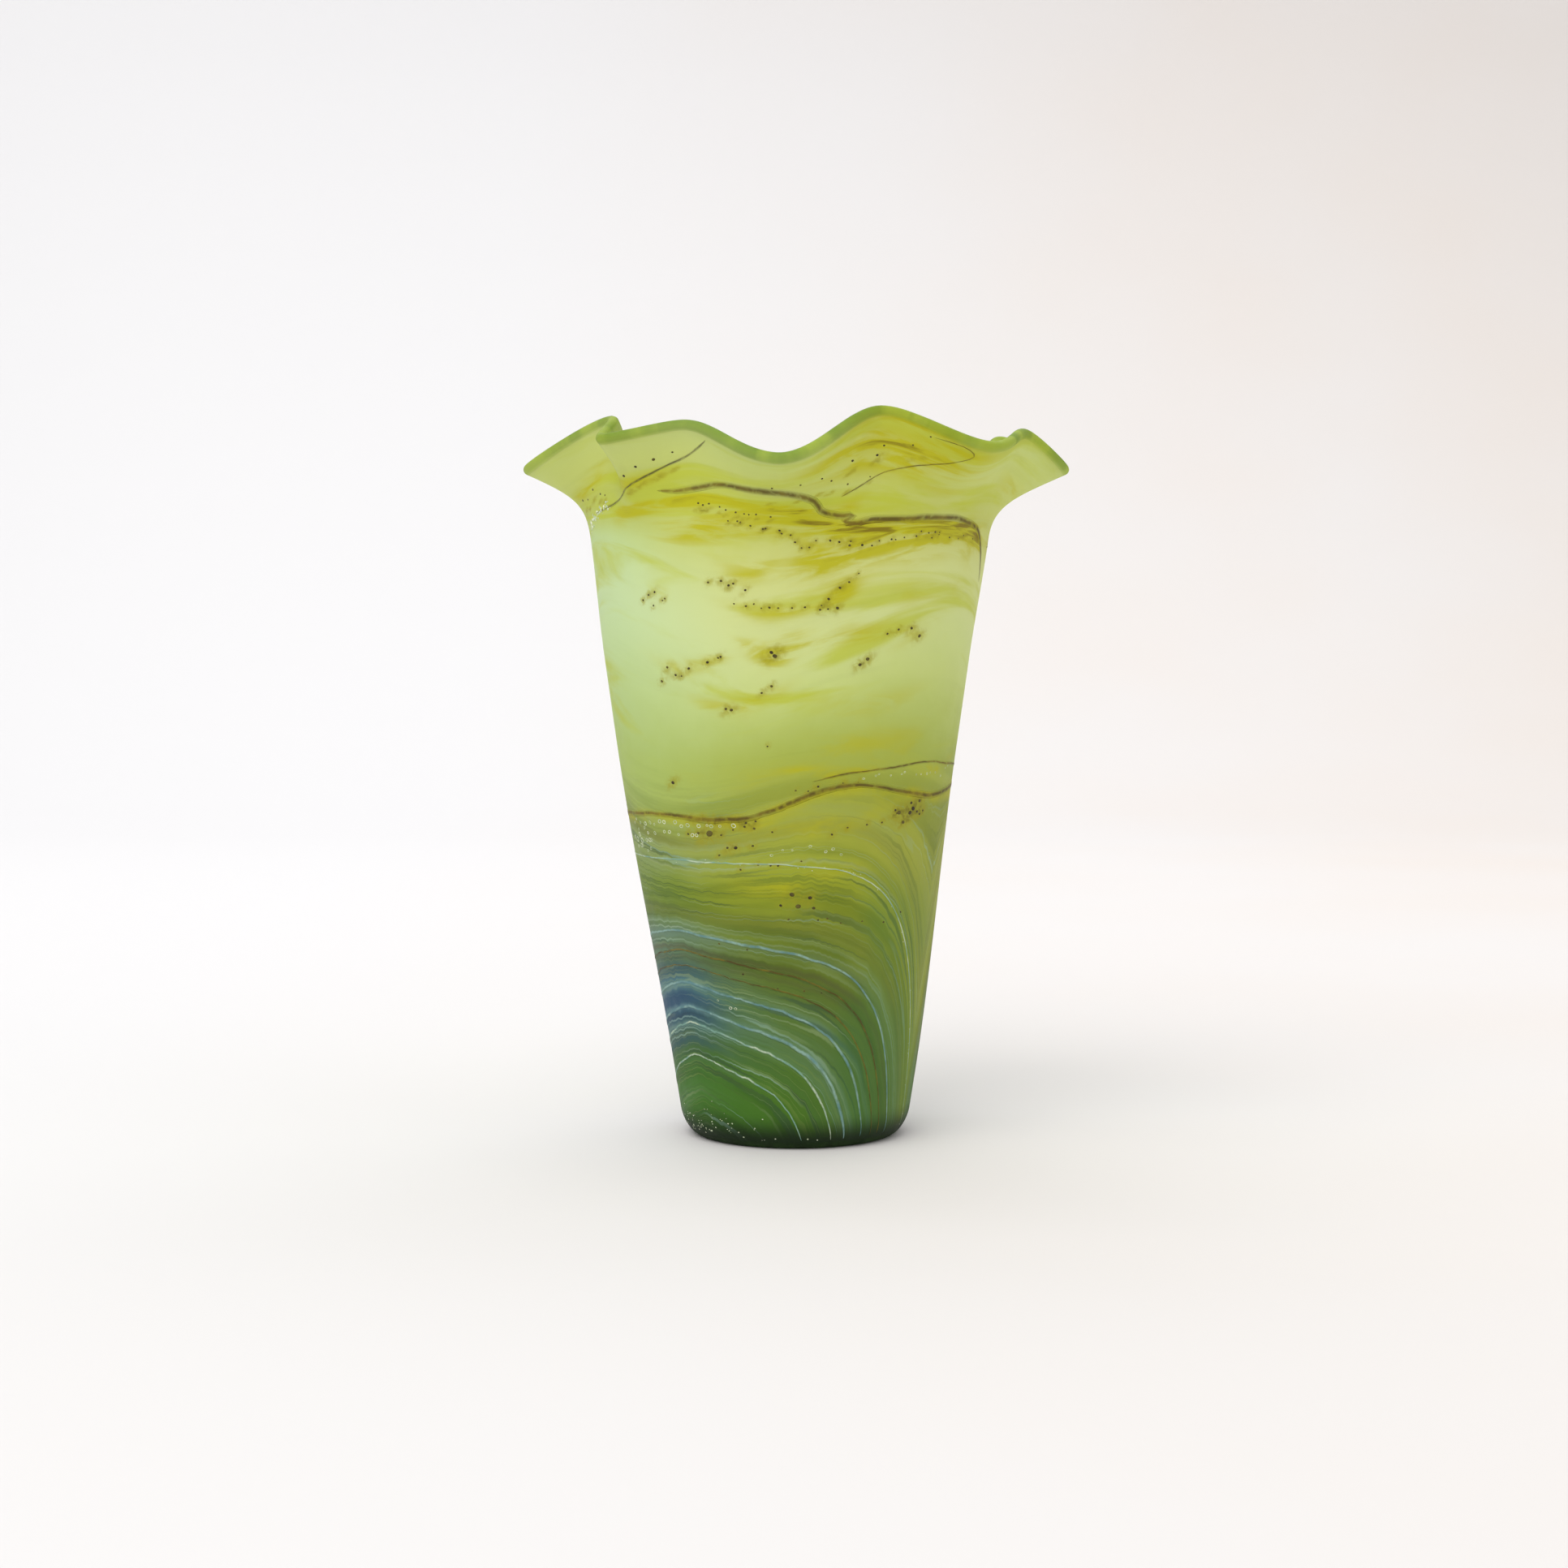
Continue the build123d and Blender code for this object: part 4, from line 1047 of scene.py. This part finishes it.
thread_rng = np.random.default_rng(11)
for name, crest, width, glass, node, slot in ARCHES:
    lay_thread(name, arch_route(crest), width, glass, node, thread_rng)
for name, width, glass, node, slot, points in BANDS:
    lay_thread(name, band_route(points), width, glass, node, thread_rng, 0.2)

# ---------------------------------------------------------------------------
# Pontil wafer: the bit of clear glass that held the vase on the iron while its lip was
# ruffled, snapped off and ground nearly flat in the hollow under the foot.
WAFER_RADIUS = 11.0
WAFER_THICKNESS = 1.3
WAFER_COLUMNS = 64
WAFER_ROUND = 0.5           # how far its edge is drawn in
WAFER_CLEAR = 0.01          # hair of room between the wafer and the hollow
GRIND = 0.03                # depth of the grinding marks


def make_wafer():
    """Pontil wafer: a low ground disc with a soft edge and a ragged outline."""
    ring_rng = np.random.default_rng(5)
    turns = np.arange(WAFER_COLUMNS) * 2 * math.pi / WAFER_COLUMNS
    ragged = 1 + 0.02 * np.sin(3 * turns + 1.0) + 0.012 * np.sin(7 * turns)
    profile = [(r, hollow_height(r) - WAFER_CLEAR) for r in (0.0, 3, 6, 8.5, 10.2, WAFER_RADIUS)]
    rim = profile[-1][1]
    for i in range(1, 5):
        turn = math.pi / 2 * i / 4
        down = (WAFER_THICKNESS - 0.4) * (1 - math.cos(turn))
        profile.append((WAFER_RADIUS - WAFER_ROUND * math.sin(turn), rim - down))
    ground = profile[-1][1] - GRIND
    profile += [(r, ground) for r in (9.0, 6.5, 4.0, 2.0, 0.0)]
    points, faces = [], []
    for r, z in profile:
        for k, turn in enumerate(turns):
            mark = GRIND * ring_rng.uniform(-1, 1) if r > 0 and z == ground else 0.0
            reach = r * ragged[k] * MM
            points.append((reach * math.cos(turn), reach * math.sin(turn), (z + mark) * MM))
    for i in range(len(profile) - 1):
        for k in range(WAFER_COLUMNS):
            a, b = i * WAFER_COLUMNS + k, i * WAFER_COLUMNS + (k + 1) % WAFER_COLUMNS
            faces.append((a, b, b + WAFER_COLUMNS, a + WAFER_COLUMNS))
    mesh = bpy.data.meshes.new("pontil_wafer_ground")
    mesh.from_pydata(points, [], faces)
    mesh.shade_smooth()
    piece = bpy.data.objects.new("pontil_wafer_ground", mesh)
    scene.collection.objects.link(piece)
    work = bmesh.new()
    work.from_mesh(mesh)
    bmesh.ops.remove_doubles(work, verts=work.verts, dist=WELD * MM)
    bmesh.ops.recalc_face_normals(work, faces=work.faces)
    work.to_mesh(mesh)
    work.free()
    # Ground clear green glass: rougher than the satin, with fine circular grinding marks
    material, tree = new_material("green glass, ground")
    place = add_node(tree, "ShaderNodeTexCoord", give="Object")
    rings = add_node(
        tree, "ShaderNodeTexWave", {"Vector": place, "Scale": 900.0, "Distortion": 3.0, "Detail": 2.0},
        wave_type="RINGS", rings_direction="Z")
    rough = add_node(tree, RANGE, {0: rings, 3: 0.55, 4: 0.75})
    tint = add_node(tree, MIX, {0: rings, 6: linear("5f7f36"), 7: linear("7a9a4c")}, **COLOURS)
    bump = add_node(tree, "ShaderNodeBump", {"Height": rings, "Distance": GRIND * MM})
    gloss = add_node(tree, "ShaderNodeBsdfPrincipled", {
        "Base Color": tint, "Roughness": rough, "Normal": bump, "IOR": GLASS_IOR, "Specular IOR Level": 0.35})
    add_node(tree, "ShaderNodeOutputMaterial", {0: gloss})
    mesh.materials.append(material)
    return piece


wafer = make_wafer()
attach(wafer, "root")
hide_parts("pontil_wafer")

# ---------------------------------------------------------------------------
# Seeds and burst bubbles: burnt specks of metal that lie in the skin in loose strings, and
# white open rings where bubbles broke in the surface under the brown belt. Both are small
# shapes set on the skin by one node tree, each turned to face outwards.
BUBBLE_ROWS = [             # first and last azimuth, height there, count, size of each row of burst bubbles
    (-74, -18, 109.5, 110.0, 16, 0.55), (-70, -30, 107.0, 106.0, 9, 0.5),
    (-76, -56, 103.5, 103.0, 7, 0.75), (-74, -58, 100.5, 100.5, 5, 0.6), (24, 74, 126.0, 127.0, 14, 0.3),
    (6, 22, 103.0, 102.0, 4, 0.4), (-8, 4, 101.0, 103.0, 3, 0.35), (-34, -22, 52, 46, 3, 0.4),
    (120, 200, 107, 108, 22, 0.5), (210, 270, 105, 104, 16, 0.6),
]


def make_setting_tree():
    """Node tree: sets a small flat shape on the skin at every point of the source."""
    tree, given = new_shape_tree("Set specks on the skin", (*SKIN_SIZES, "Flatness", "Ring"), ("Glass",))
    stored = stored_numbers(tree, ("azimuth", "station", "size", "turn"))
    place, round_step, _, outward = feel_skin(tree, given, stored)
    place = add_node(tree, VECTOR, {0: place, "Scale": MM}, operation="SCALE")
    points = add_node(tree, "GeometryNodeSetPosition", {"Geometry": given["Geometry"], "Position": place})
    points = add_node(tree, "GeometryNodeMeshToPoints", {0: points})
    facing = add_node(tree, "FunctionNodeAxesToRotation", {0: outward, 1: round_step})
    spin = add_node(tree, "FunctionNodeAxisAngleToRotation", {0: (0, 0, 1), 1: stored["turn"]})
    facing = add_node(tree, "FunctionNodeRotateRotation", {0: facing, 1: spin}, rotation_space="LOCAL")
    ball = add_node(tree, "GeometryNodeMeshUVSphere", {"Radius": 1.0, "Segments": 9, "Rings": 5})
    circle = add_node(tree, "GeometryNodeCurvePrimitiveCircle", {"Resolution": 9, "Radius": 0.82})
    wire = add_node(tree, "GeometryNodeCurvePrimitiveCircle", {"Resolution": 5, "Radius": 0.17})
    hoop = add_node(tree, "GeometryNodeCurveToMesh", {0: circle, 1: wire})
    is_ring = add_node(tree, "FunctionNodeCompare", {0: given["Ring"], 1: 0.5}, operation="GREATER_THAN")
    shape = add_node(tree, "GeometryNodeSwitch", {0: is_ring, 1: ball, 2: hoop}, input_type="GEOMETRY")
    size = add_node(tree, MATH, {0: stored["size"], 1: MM}, operation="MULTIPLY")
    flat = add_node(tree, MATH, {0: size, 1: given["Flatness"]}, operation="MULTIPLY")
    long = add_node(tree, MATH, {0: size, 1: 1.25}, operation="MULTIPLY")
    scale = add_node(tree, "ShaderNodeCombineXYZ", {0: long, 1: size, 2: flat})
    specks = add_node(tree, "GeometryNodeInstanceOnPoints", {
        "Points": points, "Instance": shape, "Rotation": facing, "Scale": scale})
    specks = add_node(tree, "GeometryNodeRealizeInstances", {"Geometry": specks})
    specks = add_node(tree, "GeometryNodeSetMaterial", {"Geometry": specks, "Material": given["Glass"]})
    add_node(tree, "NodeGroupOutput", {0: specks})
    return tree


setting_tree = make_setting_tree()


def set_specks(name, specks, material, flatness, ring, rng):
    """Set one kind of speck on the skin, from the azimuth, height and size of each."""
    azimuth, height, size = np.array(specks).T
    mesh = bpy.data.meshes.new(name)
    mesh.from_pydata(np.zeros((len(azimuth), 3)).tolist(), [], [])
    turn = rng.uniform(-0.5, 0.5, len(azimuth))
    numbers = {"azimuth": azimuth, "station": station_at(azimuth, height), "size": size, "turn": turn}
    for field, values in numbers.items():
        mesh.attributes.new(field, "FLOAT", "POINT").data.foreach_set("value", values.astype(np.float32))
    source = bpy.data.objects.new(name, mesh)
    values = SKIN_SIZES | {"Glass": material, "Flatness": flatness, "Ring": ring}
    piece = shaped_by(setting_tree, source, name, values)
    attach(piece, "root")


def make_speck_satin(name, dark, light, scale):
    """Burnt metal or burst bubble, satin: mottled, so that no two specks look alike."""
    material, tree = new_material(name)
    place = add_node(tree, "ShaderNodeTexCoord", give="Object")
    mottle = add_node(tree, NOISE, {"Vector": place, "Scale": scale, "Detail": 2.0})
    mottle = share_where(tree, (mottle, 0.35, 0.65))
    tint = add_node(tree, MIX, {0: mottle, 6: linear(dark), 7: linear(light)}, **COLOURS)
    gloss = add_node(tree, "ShaderNodeBsdfPrincipled", {
        "Base Color": tint, "Roughness": SATIN, "IOR": GLASS_IOR, "Specular IOR Level": GLOSS})
    add_node(tree, "ShaderNodeOutputMaterial", {0: gloss})
    return material


burnt_metal = make_speck_satin("burnt metal specks, satin", "2e2410", "5a5216", 300.0)
burst_bubble = make_speck_satin("burst bubbles, etched white", "b4c49c", "e2e8ce", 400.0)
speck_rng = np.random.default_rng(21)
specks = [(azimuth, height, 0.16 + 0.42 * size) for azimuth, height, size in seeds]
set_specks("seeds_dark", specks, burnt_metal, 0.16, 0.0, speck_rng)

bubbles = []
for first, last, low, high, count, size in BUBBLE_ROWS:
    for i in range(count):
        share = (i + speck_rng.uniform(0.1, 0.9)) / count
        up = low + (high - low) * share + speck_rng.normal(0, 0.7)
        bubbles.append((first + (last - first) * share, up, size * speck_rng.uniform(0.75, 1.4)))
set_specks("burst_bubbles", bubbles, burst_bubble, 0.45, 1.0, speck_rng)

# Crumbs of white enamel: dust that stuck to the hot glass near the foot and along the
# outer arch, and the crackled pale patch at the left shoulder
crumbs = []
for middle in (-52.0, 150.0):
    for _ in range(70):
        turn, up = middle + speck_rng.normal(0, 20), 3.0 + abs(speck_rng.normal(0, 4.5))
        crumbs.append((turn, up, speck_rng.uniform(0.1, 0.26)))
turns, heights = arch_route(98.0)
for _ in range(60):
    i = speck_rng.integers(len(turns) // 2, len(turns))
    turn, up = turns[i] + speck_rng.normal(0, 0.5), heights[i] + speck_rng.normal(0, 0.5)
    crumbs.append((turn, up, speck_rng.uniform(0.1, 0.2)))
for _ in range(60):
    along = speck_rng.uniform(0, 1)
    turn, up = -79 + 17 * along + speck_rng.normal(0, 1.2), 208 + 8 * along + speck_rng.normal(0, 0.9)
    crumbs.append((turn, up, speck_rng.uniform(0.2, 0.6)))
set_specks("enamel_crumbs", crumbs, burst_bubble, 0.4, 0.0, speck_rng)
